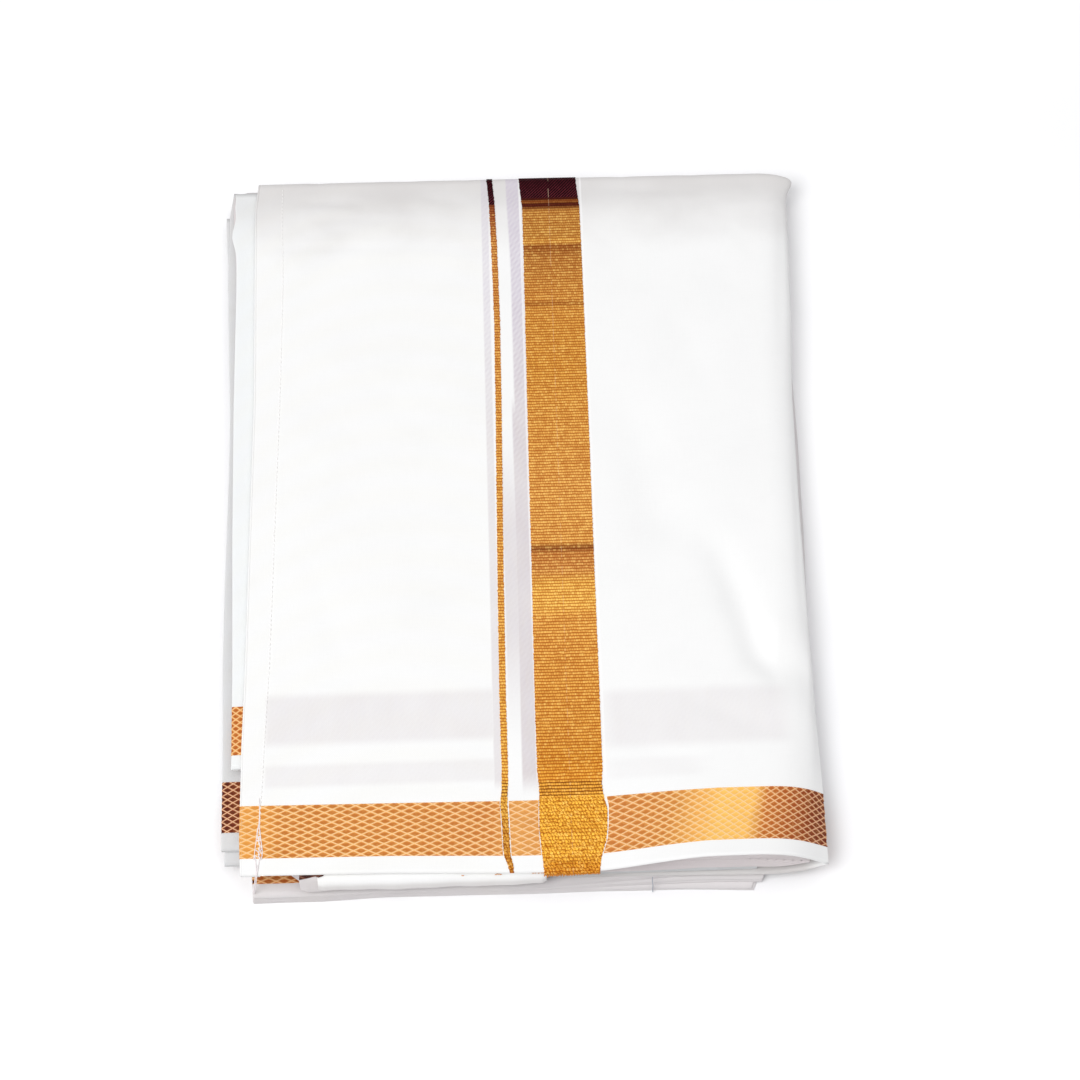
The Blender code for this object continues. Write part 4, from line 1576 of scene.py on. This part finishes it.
@dataclass
class FoldedPly:
    """A panel folded on itself: a flat tube of thin cloth with round edges."""

    name: str
    front: Any
    back: Any
    left: Any
    right: Any
    top: Any
    height: float
    sheet: float = 0.3
    rows: int = 90
    columns: int = 26
    turns: int = 6
    edge_columns: int = 10

    def ring(self, columns: np.ndarray, grow: float) -> tuple[np.ndarray, np.ndarray, np.ndarray, np.ndarray]:
        """Places round the tube: share across, depth, outward push and length.

        Args:
            columns: Shares across the top, from left to right.
            grow: How far outside the cloth the places lie.

        Returns:
            The share, depth, push and length of each place.
        """
        radius = self.height / 2
        angles = np.linspace(0, math.pi, self.turns + 2)[1:-1]
        share = np.concatenate([columns, np.ones(self.turns), columns[::-1], np.zeros(self.turns)])
        turned = radius - (radius + grow) * np.cos(angles)
        flat = np.ones(len(columns))
        depth = np.concatenate([-grow * flat, turned, (self.height + grow) * flat, turned[::-1]])
        out = (radius + grow) * np.sin(angles)
        push = np.concatenate([0 * flat, out, 0 * flat, -out])
        around = np.concatenate([0 * flat, radius * angles, radius * math.pi * flat, -radius * angles[::-1]])
        return share, depth, push, around

    def grid(
        self, shares: np.ndarray, runs: np.ndarray, grow: float, places: Any = None
    ) -> tuple[np.ndarray, np.ndarray]:
        """Points of the tube's outer face, with their places on the cloth.

        Args:
            shares: Shares across the top, from left to right.
            runs: Places from the front edge, 0, to the back, 1.
            grow: How far outside the cloth they lie.
            places: Distances from the front edge in place of runs.

        Returns:
            The points, and their places on the cloth.
        """
        share, depth, push, around = self.ring(shares, grow)
        share, run = np.meshgrid(share, runs)
        front, back = self.front(share), self.back(share)
        if places is None:
            y = mix(front, back, run)
        else:
            y = front + np.repeat(places[:, None], share.shape[1], axis=1)
        radius = self.height / 2
        left, right = self.left(y) + radius, self.right(y) - radius
        x = mix(left, right, share)
        z = self.top(x, y) - depth
        points = np.stack([x + push, y, z], axis=-1)
        along = x - left + around
        return points, np.stack([along, y - front], axis=-1)

    def shares(self) -> np.ndarray:
        """Shares across the top, closer at both edges."""
        edge = np.linspace(0.0, 0.05, self.edge_columns)
        return np.concatenate([edge, np.linspace(0.08, 0.92, self.columns), 1 - edge[::-1]])

    def add_to(self, draft: MeshDraft) -> None:
        """Add the tube to a mesh, with its rows closer at the front and the back.

        Args:
            draft: The mesh that it goes into.
        """
        near = np.linspace(0.0, 0.06, 8)
        runs = np.concatenate([near, np.linspace(0.08, 0.92, self.rows), 1 - near[::-1]])
        points, cloth = self.grid(self.shares(), runs, 0.0)
        draft.add_grid(points, cloth, loop=True)

    def build(self, material: bpy.types.Material, slot: Slot, *nodes: str) -> bpy.types.Object:
        """Make the tube as a piece of its own.

        Args:
            material: Its finish.
            slot: The record's material slot.
            nodes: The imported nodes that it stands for.

        Returns:
            The piece.
        """
        draft = MeshDraft()
        self.add_to(draft)
        return settle(draft.make(self.name, material, self.sheet), slot, *nodes)

    def add_border(self, draft: MeshDraft, low: float, high: float, reach: float, pitch: float) -> None:
        """Wrap a gold border round the left edge.

        Args:
            draft: The mesh that it goes into.
            low: Where the border starts, from the ply's front edge.
            high: Where it ends.
            reach: How far it runs to the right.
            pitch: The length of its lozenges.
        """
        places = np.arange(low, high + 0.01, 0.23)
        front = self.front(np.zeros(1))
        width = float(np.mean(self.right(front) - self.left(front)))
        shares = np.arange(0.0, reach, 0.4) / width
        half = len(shares)
        points, cloth = self.grid(shares, np.zeros(len(places)), 0.05, places)
        last = points.shape[1] - 1
        under = last - self.turns
        order = [*range(half - 1, -1, -1), *range(last, under, -1), *range(under, under - half // 2, -1)]
        points, cloth = points[:, order[::-1]], cloth[:, order[::-1]]
        raised = lozenge_relief(cloth[..., 0] + 60.0, cloth[..., 1], 0.08, pitch)
        points = points + grid_normals(points) * raised[..., None]
        cloth = cloth + (60.0, 0.0)
        draft.add_grid(points, cloth)


@dataclass
class SecondPly:
    """The ply that shows left of the cover, down to its own border."""

    form: CoverForm
    cotton: bpy.types.Material
    net: bpy.types.Material
    border_low: float = 6.2
    border_high: float = 28.0

    def build(self) -> list[bpy.types.Object]:
        """Build the ply and its border, and return them."""
        ply = FoldedPly(
            name="second_ply_cloth",
            front=lambda share: SECOND_FRONT_Y + 0.4 * np.sin(share * 9.0),
            back=lambda share: 165.0 - 2.0 * share,
            left=self.left,
            right=lambda y: SECOND_RIGHT_X + 0.4 * np.sin(y * 0.05),
            top=self.top,
            height=0.95,
        )
        cloth = ply.build(self.cotton, Slot.WHITE, "second_ply")
        draft = MeshDraft()
        ply.add_border(draft, self.border_low, self.border_high, 11.0, 3.6)
        return [cloth, settle(draft.make("second_border", self.net), Slot.GOLD)]

    def left(self, y: Any) -> Any:
        """The left edge, which swings out near the back."""
        swing = 1.9 * np.exp(-(((y - 140.5) / 7.0) ** 2)) + 0.8 * smooth((y - 148.0) / 10.0)
        return read(LEFT_EDGES, "y", "second_x", y) - swing

    def top(self, x: Any, y: Any) -> Any:
        """Height of the ply under the cover and its hem."""
        slump = SLUMP * smooth((y - SLUMP_START_Y) / (165.0 - SLUMP_START_Y))
        return self.form.height(x, y) - slump - PLY_STEP * (1 + hem_room(x, y))


@dataclass
class LeftLeaves:
    """The two plies that reach out low at the left."""

    cotton: bpy.types.Material
    net: bpy.types.Material
    upper_front: float = -151.8
    lower_front: float = -157.4
    inner_front: float = -165.6
    upper_back: float = 162.5
    lower_back: float = 155.0
    corner_back: float = 167.5
    inset: float = 1.2
    end_clear: float = 3.0

    def build(self) -> list[bpy.types.Object]:
        """Build both plies and their borders, and return them."""
        upper_ends = (self.upper_front, self.upper_back, self.corner_back)
        lower_ends = (self.lower_front, self.lower_back, self.lower_back)
        upper = self.leaf("left_leaf_upper", upper_ends, self.upper_shift, UPPER_LEAF_TOP)
        lower = self.leaf("left_leaf_lower", lower_ends, self.lower_shift, LOWER_LEAF_TOP)
        pieces = [
            upper.build(self.cotton, Slot.WHITE, "left_ply_upper"),
            lower.build(self.cotton, Slot.WHITE, "left_ply_lower"),
        ]
        draft = MeshDraft()
        upper.add_border(draft, 7.7, 29.9, 15.0, 4.4)
        lower.add_border(draft, 7.7, 29.5, 5.0, 4.4)
        return [*pieces, settle(draft.make("leaf_borders", self.net), Slot.GOLD)]

    def upper_shift(self, y: Any) -> Any:
        """How far the upper leaf's left edge is set in."""
        return 1.2 * smooth((y - 118.0) / 30.0) + 0.25 * np.sin(y * 0.045)

    def lower_shift(self, y: Any) -> Any:
        """How far the lower leaf's left edge is set in."""
        return self.inset * (1 - smooth((y - 100.0) / 40.0)) + 0.2 * np.sin(y * 0.06 + 2.0)

    def leaf(self, name: str, ends: tuple[float, float, float], shift: Any, top: float) -> FoldedPly:
        """Lay out one leaf.

        Args:
            name: The piece's name.
            ends: Its front edge at the left, its back edge and its back corner.
            shift: How far its left edge is set in, by y.
            top: Its height.

        Returns:
            The leaf.
        """
        front, back, corner = ends

        def front_at(share: Any) -> Any:
            """The front edge, which steps forward under the cover."""
            return mix(front, self.inner_front, smooth((share - 0.17) / 0.14))

        def back_at(share: Any) -> Any:
            """The back edge, which reaches further at the corner."""
            return mix(back, corner, 1 - smooth(share / 0.045))

        return FoldedPly(
            name=name,
            front=front_at,
            back=back_at,
            left=lambda y: read(LEFT_EDGES, "y", "leaf_x", y) + shift(y),
            right=lambda y: read(FOLDS, "y", "under_x", y) - self.end_clear,
            top=lambda x, y: top + 0 * x,
            height=LEAF_WALL,
        )


@dataclass
class InnerPlies:
    """Panels inside the cover: nested round the right fold, with layered edges all round."""

    form: CoverForm
    cotton: bpy.types.Material
    loops: int = 8
    sheet: float = 0.22
    seed: int = 23

    def build(self) -> bpy.types.Object:
        """Build every nested panel as one piece."""
        draft = MeshDraft()
        random = np.random.default_rng(self.seed)
        top = spread((0.0, 0.05, 6), (0.1, 0.92, 20), (0.95, 1.0, 3))
        turn = np.linspace(0.0, 1.0, 42)[1:-1]
        runs = spread((0.0, 0.09, 12), (0.12, 0.9, 20), (0.92, 1.0, 8))
        for number in range(self.loops):
            front = random.normal(0, 0.06) + 0.16 * number - 0.2
            left = abs(random.normal(0, 0.5)) + 0.35 * number
            self.add_loop(draft, number, top, turn, runs, front, left)
        return settle(draft.make("inner_ply_edges", self.cotton, self.sheet), Slot.SHADED, "inner_plies")

    def add_loop(self, draft: MeshDraft, number: int, top: np.ndarray, turn: np.ndarray,
                 runs: np.ndarray, front: float, left: float) -> None:
        """Add one panel that runs over, round the fold and back.

        Args:
            draft: The mesh that it goes into.
            number: Its place in the nest, from the outside.
            top: Shares across its upper and lower runs.
            turn: Shares round its fold.
            runs: Places from front to back.
            front: How far its front edge is set back.
            left: How far its left edge is set in.
        """
        nest = number / self.loops * 0.94
        run = runs[:, None]
        y = mix(-165.8 + front, 164.0 - 0.25 * number, run)
        first = read(LEFT_EDGES, "y", "core_x", y) + left
        clear = read(LEFT_EDGES, "y", "cover_x", y) + 1.0 + left
        first = mix(first, np.maximum(first, clear), smooth((-108.0 - y) / 10.0))
        nose, slant = read(FOLDS, "y", "nose_x", y), read(FOLDS, "y", "slant", y)
        nose_z = read(FOLDS, "y", "tip_z", y) + 1.0
        straight = np.minimum(nose - 9.0, read(FOLDS, "y", "top_x", y) - 1.5)
        under = np.minimum(nose - 7.0, straight + 9.0)
        x = mix(first, straight, top[None, :])
        x_back = mix(first, under, top[None, :])
        upper = self.top(x, y)
        high = upper[:, -1:]
        reach, low_reach = nose - straight, nose - under
        share = turn[None, :] * 2
        over = bezier(
            (straight, straight + FOLD_REACH * reach, nose - slant * reach, nose),
            (high, high, nose_z + FOLD_DROP * (high - nose_z), nose_z),
            share,
        )
        below = bezier(
            (nose, nose - slant * low_reach, under + FOLD_REACH * low_reach, under),
            (nose_z, nose_z - FOLD_DROP * (nose_z - CORE_Z), CORE_Z + 0 * nose_z, CORE_Z + 0 * nose_z),
            share - 1,
        )
        bend_x, bend_z = np.where(share <= 1, over[0], below[0]), np.where(share <= 1, over[1], below[1])
        centre = straight - 2.0
        middle = (high + CORE_Z) / 2 - 0.5
        bend_x = mix(bend_x, centre, nest)
        bend_z = mix(bend_z, middle, nest)
        flat = (self.top(x, y) + CORE_Z) / 2
        joined = mix(x[:, -1:], centre, nest) - x[:, -1:]
        joined_low = mix(x_back[:, -1:], centre, nest) - x_back[:, -1:]
        ease = smooth((top[None, :] - 0.9) / 0.1)
        top_z = mix(upper, mix(flat, middle, ease), nest)
        low_z = mix(CORE_Z, mix((self.top(x_back, y) + CORE_Z) / 2, middle, ease), nest)
        xs = np.concatenate([x + joined * top, bend_x, (x_back + joined_low * top)[:, ::-1]], axis=1)
        zs = np.concatenate([top_z, bend_z, low_z[:, ::-1]], axis=1)
        ripple = 0.25 * np.sin(xs * 0.11 + number * 0.4) + 0.12 * np.sin(xs * 0.31 + number * 0.6)
        step = 8.0 * (1 - smooth((xs + 97.0) / 8.0))
        ys = y + (ripple + step) * (1 - smooth(run / 0.05))
        steps = np.hypot(np.diff(xs, axis=1), np.diff(zs, axis=1))
        along = np.concatenate([np.zeros((len(runs), 1)), np.cumsum(steps, axis=1)], axis=1)
        draft.add_grid(np.stack([xs, ys, zs], axis=-1), np.stack([along, ys], axis=-1))

    def top(self, x: Any, y: Any) -> Any:
        """Height of the uppermost inner panel under what covers it.

        Args:
            x: The places across.
            y: The places from front to back.

        Returns:
            The height.
        """
        slump = SLUMP * smooth((y - SLUMP_START_Y) / (165.0 - SLUMP_START_Y))
        layers = 1 + hem_room(x, y) + second_room(x, y)
        hollow = 0.7 * smooth((x - 30.0) / 30.0) * smooth((-120.0 - y) / 20.0)
        sunk = 0.9 * smooth((x - 70.0) / 14.0) * smooth((y + 122.0) / 14.0)
        return self.form.height(x, y) - slump - PLY_STEP * layers - hollow - sunk


@dataclass
class FrontPly:
    """The ply that slips out under the front edge and hangs over the stack's front, with one behind it."""

    cotton: bpy.types.Material
    # The ply behind gets a greyer cotton: painted shade.
    painted_shade: bpy.types.Material
    net: bpy.types.Material
    left: float = -82.0
    right: float = 7.0
    dim_left: float = -89.2
    sag: float = 0.4
    turn_radius: float = 0.6

    def build(self) -> list[bpy.types.Object]:
        """Build both plies, and the corner of border that shows at their left, and return them."""
        front = MeshDraft()
        self.add_ply(front, self.left, self.right, 0.0, 0.0)
        # The ply behind hangs lower in greyer cotton, painted shade.
        behind = MeshDraft()
        self.add_ply(behind, self.dim_left, self.right - 1.2, 1.0, 2.6)
        corner = MeshDraft()
        self.add_corner(corner)
        return [
            settle(front.make("front_ply_cloth", self.cotton, 0.35), Slot.WHITE, "front_ply"),
            settle(behind.make("front_ply_behind", self.painted_shade, 0.3), Slot.SHADED),
            settle(corner.make("front_corner_border", self.net, 0.1), Slot.GOLD),
        ]

    def line(self, back: float, longer: float) -> tuple[np.ndarray, np.ndarray]:
        """The ply's line from under the cover to its turned-in lower edge.

        Args:
            back: How far the ply is set back.
            longer: How much lower it hangs.

        Returns:
            The y and z of its points.
        """
        spots = [(row.y + back * smooth((16.0 - row.z) / 2.0), row.z) for row in FRONT_PLY]
        if longer:
            spots.append((FRONT_PLY[-1].y + back - 0.1, FRONT_PLY[-1].z - longer))
        line = curve_through(np.array(spots), 4)
        angles = np.linspace(0.3, math.pi, 8)
        y = np.concatenate([line[:, 0], line[-1, 0] + self.turn_radius * (1 - np.cos(angles))])
        z = np.concatenate([line[:, 1], line[-1, 1] - self.turn_radius * np.sin(angles)])
        return np.append(y, y[-1] + (0.2, 0.5)), np.append(z, z[-1] + (1.6, 3.4))

    def add_ply(self, draft: MeshDraft, left: float, right: float, back: float, longer: float) -> None:
        """Add one ply.

        Args:
            draft: The mesh that it goes into.
            left: Its left end.
            right: Its right end.
            back: How far it is set back.
            longer: How much lower it hangs.
        """
        ys, zs = self.line(back, longer)
        x = np.linspace(left, right, 150)[None, :]
        points = self.drape(x, ys[:, None], zs[:, None], (left, right), longer)
        length = np.concatenate([[0.0], np.cumsum(np.hypot(np.diff(ys), np.diff(zs)))])[:, None]
        draft.add_grid(points[::-1], np.stack([x + 0 * length, length + 0 * x], axis=-1)[::-1])

    def drape(self, x: Any, y: Any, z: Any, ends: tuple[float, float], longer: float) -> np.ndarray:
        """Let a ply's straight line waver along its length and turn back at its ends.

        Args:
            x: Places along the ply.
            y: The y of the line.
            z: The z of the line.
            ends: The x of the ply's ends.
            longer: How much lower the ply hangs.

        Returns:
            The points.
        """
        left, right = ends
        drop = np.clip((FRONT_PLY[0].z - z) / (FRONT_PLY[0].z - FRONT_PLY[-1].z), 0.0, 1.2)
        turned = 0.6 * (1 - smooth((x - left) / 2.6)) + 0.8 * (1 - smooth((right - x) / 2.2))
        wave = 0.16 * np.sin(x * 0.16) + 0.10 * np.sin(x * 0.41 + 1.0)
        sag = self.sag * np.sin(math.pi * (x - left) / (right - left))
        sag = sag - longer * 0.75 * smooth((x + 20.0) / 30.0)
        return np.stack([x + 0 * drop, y + (wave + turned) * drop, z - sag * drop], axis=-1)

    def add_corner(self, draft: MeshDraft) -> None:
        """Add the corner of border over the left end, which narrows to the right, painted nearly black as
        painted shade.
        """
        share, down = np.meshgrid(np.linspace(0.0, 1.0, 26), np.linspace(0.0, 1.0, 14))
        x = mix(self.dim_left + 0.1, -79.6, share)
        depth = down * (2.1 * (1 - share) ** 0.7 + 0.6)
        y = -165.2 - depth
        ys, zs = self.line(1.0, 2.6)
        hanging = slice(0, int(np.argmin(ys)) + 1)
        z = np.interp(-y, -ys[hanging], zs[hanging])
        points = self.drape(x, y, z, (self.dim_left, self.right - 1.2), 2.6)
        over = smooth((x - self.left + 1.0) / 1.5)
        points = points + np.stack([0 * x, -0.16 - 0.9 * over, 0.18 + 0.25 * over], axis=-1)
        draft.add_grid(points[::-1], np.stack([x + 140.0, depth], axis=-1)[::-1])


class BaseFold(NamedTuple):
    """One folded panel of the base."""

    bottom: float
    height: float
    front: float
    right_front: float
    back: float
    left: float
    right: float


@dataclass
class BasePlies:
    """The panels at the bottom of the stack, each a flat tube, with the border of the topmost."""

    cotton: bpy.types.Material
    net: bpy.types.Material
    sheet: float = 0.2
    folds: tuple[BaseFold, ...] = (
        BaseFold(0.00, 0.72, 0.0, 0.0, 171.2, 0.3, 0.2),
        BaseFold(0.76, 0.70, 0.1, 0.3, 170.9, 0.0, 0.7),
        BaseFold(1.50, 0.70, 0.3, 2.8, 171.6, 0.6, -2.2),
        BaseFold(2.24, 0.70, 0.4, 3.2, 171.0, 0.2, -1.9),
        BaseFold(2.98, 0.78, 0.5, 5.2, 171.8, 0.7, -3.0),
        BaseFold(3.80, 0.76, 0.6, 5.6, 171.2, 0.1, -2.7),
    )

    def build(self) -> list[bpy.types.Object]:
        """Build the base and the stretch of border that shows, and return them."""
        draft = MeshDraft()
        tubes = [self.tube(number, fold) for number, fold in enumerate(self.folds)]
        for tube in tubes:
            tube.add_to(draft)
        cloth = settle(draft.make("base_ply_edges", self.cotton, self.sheet), Slot.SHADED, "base_plies")
        border = MeshDraft()
        tubes[-1].add_border(border, 5.9, 28.6, 30.0, LOZENGE_LONG)
        return [cloth, settle(border.make("base_border", self.net), Slot.GOLD)]

    def tube(self, number: int, fold: BaseFold) -> FoldedPly:
        """Lay out one folded panel of the base.

        Args:
            number: Its place, from the bottom.
            fold: Its sizes.

        Returns:
            The panel.
        """
        phase = number * 1.9

        def front_at(share: Any) -> Any:
            """The front edge, which wanders a little."""
            wander = 0.10 * np.sin(share * 9.0 + phase) + 0.08 * np.sin(share * 31.0 + phase)
            set_back = mix(fold.front, fold.right_front, smooth((share - 0.45) / 0.55))
            return read(BASE_FRONTS, "path", "y", share) + set_back + wander

        def right_at(y: Any) -> Any:
            """The right edge, which stands out further at the front where the fold does."""
            inset = mix(fold.right, abs(fold.right) * 0.3, smooth((y + 150.0) / 40.0))
            return read(BASE_EDGES, "y", "right", y) - inset - 0.25 + 0.25 * np.sin(y * 0.06 + phase)

        return FoldedPly(
            name=f"base_fold_{number}",
            front=front_at,
            back=lambda share: fold.back - 0.6 + 0.3 * np.sin(share * 11.0 + phase),
            left=lambda y: read(BASE_EDGES, "y", "left", y) + fold.left + 0.25 * np.sin(y * 0.05 + phase),
            right=right_at,
            top=lambda x, y: fold.bottom + fold.height + 0 * x,
            height=fold.height,
            rows=60,
            columns=16,
            turns=4,
            edge_columns=5,
        )


@dataclass
class Studio:
    """Pale floor, soft lights and the camera."""

    target: tuple[float, float, float] = (8.7, -15.6, 9.0)
    distance: float = 1265.0
    elevation: float = 60.0
    roll: float = 1.88
    lens: float = 101.6
    floor_half: float = 3.0

    def build(self) -> None:
        """Set everything up."""
        self.add_camera()
        self.add_floor()
        self.add_world()
        self.add_light("key_softbox", (-1.5, -1.3, 2.7), 2.2, 72.0)
        self.add_light("overhead_softbox", (0.6, 0.4, 3.0), 3.0, 30.0)
        bpy.context.scene.view_settings.view_transform = "Standard"

    def add_camera(self) -> None:
        """Aim the camera down at the cloth, with the photo's slight roll."""
        lean, roll = math.radians(self.elevation), math.radians(self.roll)
        forward = Vector((0, math.cos(lean), -math.sin(lean)))
        right = Vector((1, 0, 0))
        up = right.cross(forward)
        across = right * math.cos(roll) - up * math.sin(roll)
        upward = right * math.sin(roll) + up * math.cos(roll)
        camera = bpy.data.cameras.new("camera")
        camera.lens = self.lens
        camera.sensor_width = 36.0
        camera.clip_start = 0.05
        holder = bpy.data.objects.new("camera", camera)
        turn = Matrix((across, upward, -forward)).transposed().to_4x4()
        place = Vector(self.target) * MM - forward * self.distance * MM
        holder.matrix_world = Matrix.Translation(place) @ turn
        bpy.context.scene.collection.objects.link(holder)
        bpy.context.scene.camera = holder

    def add_floor(self) -> None:
        """Lay the floor, just under the cloth."""
        half = self.floor_half / MM
        places = np.linspace(-half, half, 9)
        x, y = np.meshgrid(places, places)
        points = np.stack([x, y, np.full(x.shape, -0.02)], axis=-1)
        draft = MeshDraft()
        draft.add_grid(points, np.stack([x, y], axis=-1))
        draft.make("floor", FloorFinish().material())

    def add_world(self) -> None:
        """Fill in the shadows from all round."""
        world = bpy.data.worlds.new("studio")
        world.use_nodes = True
        background = world.node_tree.nodes["Background"]
        background.inputs["Color"].default_value = tone(252, 252, 255)
        background.inputs["Strength"].default_value = 0.45
        bpy.context.scene.world = world

    def add_light(self, name: str, place: tuple[float, float, float], size: float, power: float) -> None:
        """Add a soft square light that faces the cloth.

        Args:
            name: The light's name.
            place: Where it stands, in metres.
            size: The length of its side, in metres.
            power: Its power in watts.
        """
        lamp = bpy.data.lights.new(name, "AREA")
        lamp.size = size
        lamp.energy = power
        holder = bpy.data.objects.new(name, lamp)
        holder.location = place
        holder.rotation_euler = (Vector(self.target) * MM - Vector(place)).to_track_quat("-Z", "Y").to_euler()
        bpy.context.scene.collection.objects.link(holder)


# Painted shade on the cover towards the back roll and on its return under the stack.
COVER_COTTON = CottonFinish(
    name="cover_cotton",
    colour=tone(239, 239, 238),
    shade=tone(232, 232, 231),
    ghosts=GHOSTS,
    crisp_lines=(4.6, 31.5),
    painted_shade_back=0.75,
    painted_shade_under=0.75,
)
# Painted shade: the second ply is darker towards the back roll and the front ply along its lower rim; the
# leaf, inner, behind and base cottons are greyer copies of the white cotton for the shade they lie in low in
# the stack.
SECOND_COTTON = CottonFinish("second_cotton", tone(233, 235, 235), tone(227, 229, 230), painted_shade_back=0.3)
LEAF_COTTON = CottonFinish("leaf_cotton", tone(212, 213, 214), tone(202, 201, 200), painted_shade_back=0.3)
INNER_COTTON = CottonFinish("inner_cotton", tone(224, 217, 217), tone(208, 200, 201))
FRONT_COTTON = CottonFinish("front_cotton", tone(240, 240, 239), tone(231, 230, 229), painted_shade_rim=0.7)
BEHIND_COTTON = CottonFinish("behind_cotton", tone(212, 207, 207), tone(196, 190, 190))
BASE_COTTON = CottonFinish("base_cotton", tone(222, 218, 218), tone(211, 206, 207))

# Along the border the gold is painted brighter where it faces up near the arch, a painted reflection, and
# darker towards and round the right fold, painted shade.
COVER_NET = NetFinish(
    name="cover_net",
    lozenges=(
        (0.0, tone(228, 156, 72)),
        (10.0, tone(218, 142, 62)),
        (17.0, tone(196, 118, 50)),
        (60.0, tone(198, 120, 52)),
        (98.0, tone(198, 120, 54)),
        (108.0, tone(222, 155, 82)),
        (145.0, tone(198, 119, 54)),
        (169.6, tone(206, 130, 60)),
        (184.5, tone(244, 178, 90)),
        (195.2, tone(255, 200, 102)),
        (212.0, tone(255, 196, 98)),
        (220.0, tone(196, 110, 46)),
        (238.5, tone(162, 78, 36)),
        (253.0, tone(118, 46, 26)),
        (285.0, tone(78, 22, 18)),
    ),
    net=(
        (0.0, tone(244, 188, 102)),
        (60.0, tone(242, 184, 100)),
        (100.0, tone(238, 180, 104)),
        (150.0, tone(234, 172, 96)),
        (195.0, tone(255, 208, 122)),
        (212.0, tone(255, 204, 116)),
        (222.0, tone(228, 158, 84)),
        (238.5, tone(206, 130, 72)),
        (253.0, tone(184, 104, 64)),
        (285.0, tone(140, 66, 48)),
    ),
    length=300.0,
    pale_line=0.68,
)
SECOND_NET = NetFinish(
    name="second_net",
    lozenges=((0.0, tone(150, 66, 26)), (64.0, tone(186, 98, 36))),
    net=((0.0, tone(236, 172, 90)), (64.0, tone(244, 184, 100))),
    length=80.0,
    pitch=3.6,
)
# Painted shade: the leaves' borders are dark maroon, darkest round the left edge, for the shade they lie in.
LEAF_NET = NetFinish(
    name="leaf_net",
    lozenges=(
        (0.0, tone(66, 8, 8)),
        (61.0, tone(74, 12, 10)),
        (66.0, tone(112, 44, 20)),
        (80.0, tone(134, 62, 26)),
    ),
    net=((0.0, tone(140, 62, 38)), (64.0, tone(176, 94, 48)), (70.0, tone(206, 128, 66))),
    length=80.0,
    pitch=4.4,
    pale_line=0.75,
    glint=0.05,
)
# Painted shade: the corner of border at the front ply's left end is nearly black.
CORNER_NET = NetFinish(
    name="corner_net",
    lozenges=((0.0, tone(34, 6, 14)), (56.0, tone(44, 12, 18))),
    net=((0.0, tone(52, 14, 18)), (58.0, tone(84, 34, 30))),
    length=80.0,
    metallic=0.1,
    pale_line=0.1,
    glint=0.02,
)
# Painted shade: darker on the turn round the left edge.
BASE_NET = NetFinish(
    name="base_net",
    lozenges=(
        (0.0, tone(60, 18, 14)),
        (60.4, tone(70, 22, 14)),
        (61.6, tone(176, 92, 40)),
        (90.0, tone(186, 100, 44)),
    ),
    net=((0.0, tone(226, 150, 80)), (90.0, tone(244, 178, 104))),
    length=100.0,
)

# The tones past 316 mm darken into maroon: painted shade round the roll.
BAND_GOLD = BandFinish(
    name="band_gold",
    tones=(
        (0.0, tone(232, 160, 56)),
        (4.0, tone(242, 172, 58)),
        (4.4, tone(150, 84, 26)),
        (4.9, tone(150, 84, 26)),
        (5.3, tone(255, 192, 72)),
        (31.0, tone(255, 192, 72)),
        (33.0, tone(242, 174, 66)),
        (49.0, tone(228, 162, 64)),
        (60.0, tone(230, 167, 74)),
        (112.0, tone(238, 178, 88)),
        (117.0, tone(250, 198, 98)),
        (128.0, tone(248, 196, 96)),
        (134.0, tone(224, 163, 88)),
        (142.0, tone(217, 154, 82)),
        (144.6, tone(150, 90, 44)),
        (147.0, tone(236, 178, 92)),
        (176.0, tone(238, 180, 94)),
        (235.0, tone(229, 169, 76)),
        (264.0, tone(226, 166, 78)),
        (266.0, tone(190, 130, 60)),
        (268.0, tone(225, 165, 80)),
        (289.0, tone(206, 148, 74)),
        (296.6, tone(172, 110, 52)),
        (298.4, tone(240, 186, 92)),
        (301.0, tone(212, 157, 76)),
        (316.2, tone(206, 150, 74)),
        (317.2, tone(104, 44, 28)),
        (320.2, tone(84, 32, 20)),
        (320.8, tone(176, 112, 52)),
        (321.3, tone(96, 40, 22)),
        (324.0, tone(60, 16, 14)),
    ),
    length=345.0,
    roll_shade_start=323.0,
)
# The tones past 312 mm darken: painted shade round the roll.
STRIPE_GOLD = BandFinish(
    name="stripe_gold",
    tones=(
        (0.0, tone(206, 136, 50)),
        (30.0, tone(240, 184, 78)),
        (120.0, tone(236, 178, 86)),
        (230.0, tone(228, 168, 84)),
        (298.0, tone(214, 150, 78)),
        (312.0, tone(170, 100, 56)),
        (330.0, tone(80, 26, 24)),
    ),
    length=345.0,
    roll_shade_start=319.0,
)


class Sheet(NamedTuple):
    """One sheet of cloth, with the size in metres that it was cut to."""

    piece: str
    flat: tuple[float, float]
    rests_on: str
    carries: tuple[str, ...] = ()


def main() -> None:
    """Dress the folded cloth, piece by piece."""
    logging.basicConfig(level=logging.INFO, format="%(name)s: %(message)s")
    Studio().build()
    form = CoverForm()
    second_net = SECOND_NET.material()
    pieces = [
        *Cover(form, COVER_COTTON).build(),
        LooseThread(form).build(),
        LooseThread(form).build_stray(),
        *CoverBorder(form, COVER_NET).build(),
        *EndBand(form, BAND_GOLD, STRIPE_GOLD).build(),
        *SecondPly(form, SECOND_COTTON.material(), second_net).build(),
        *LeftLeaves(LEAF_COTTON.material(), LEAF_NET.material()).build(),
        InnerPlies(form, INNER_COTTON.material()).build(),
        *FrontPly(FRONT_COTTON.material(), BEHIND_COTTON.material(), CORNER_NET.material()).build(),
        *BasePlies(BASE_COTTON.material(), BASE_NET.material()).build(),
    ]


if __name__ == "__main__":
    main()
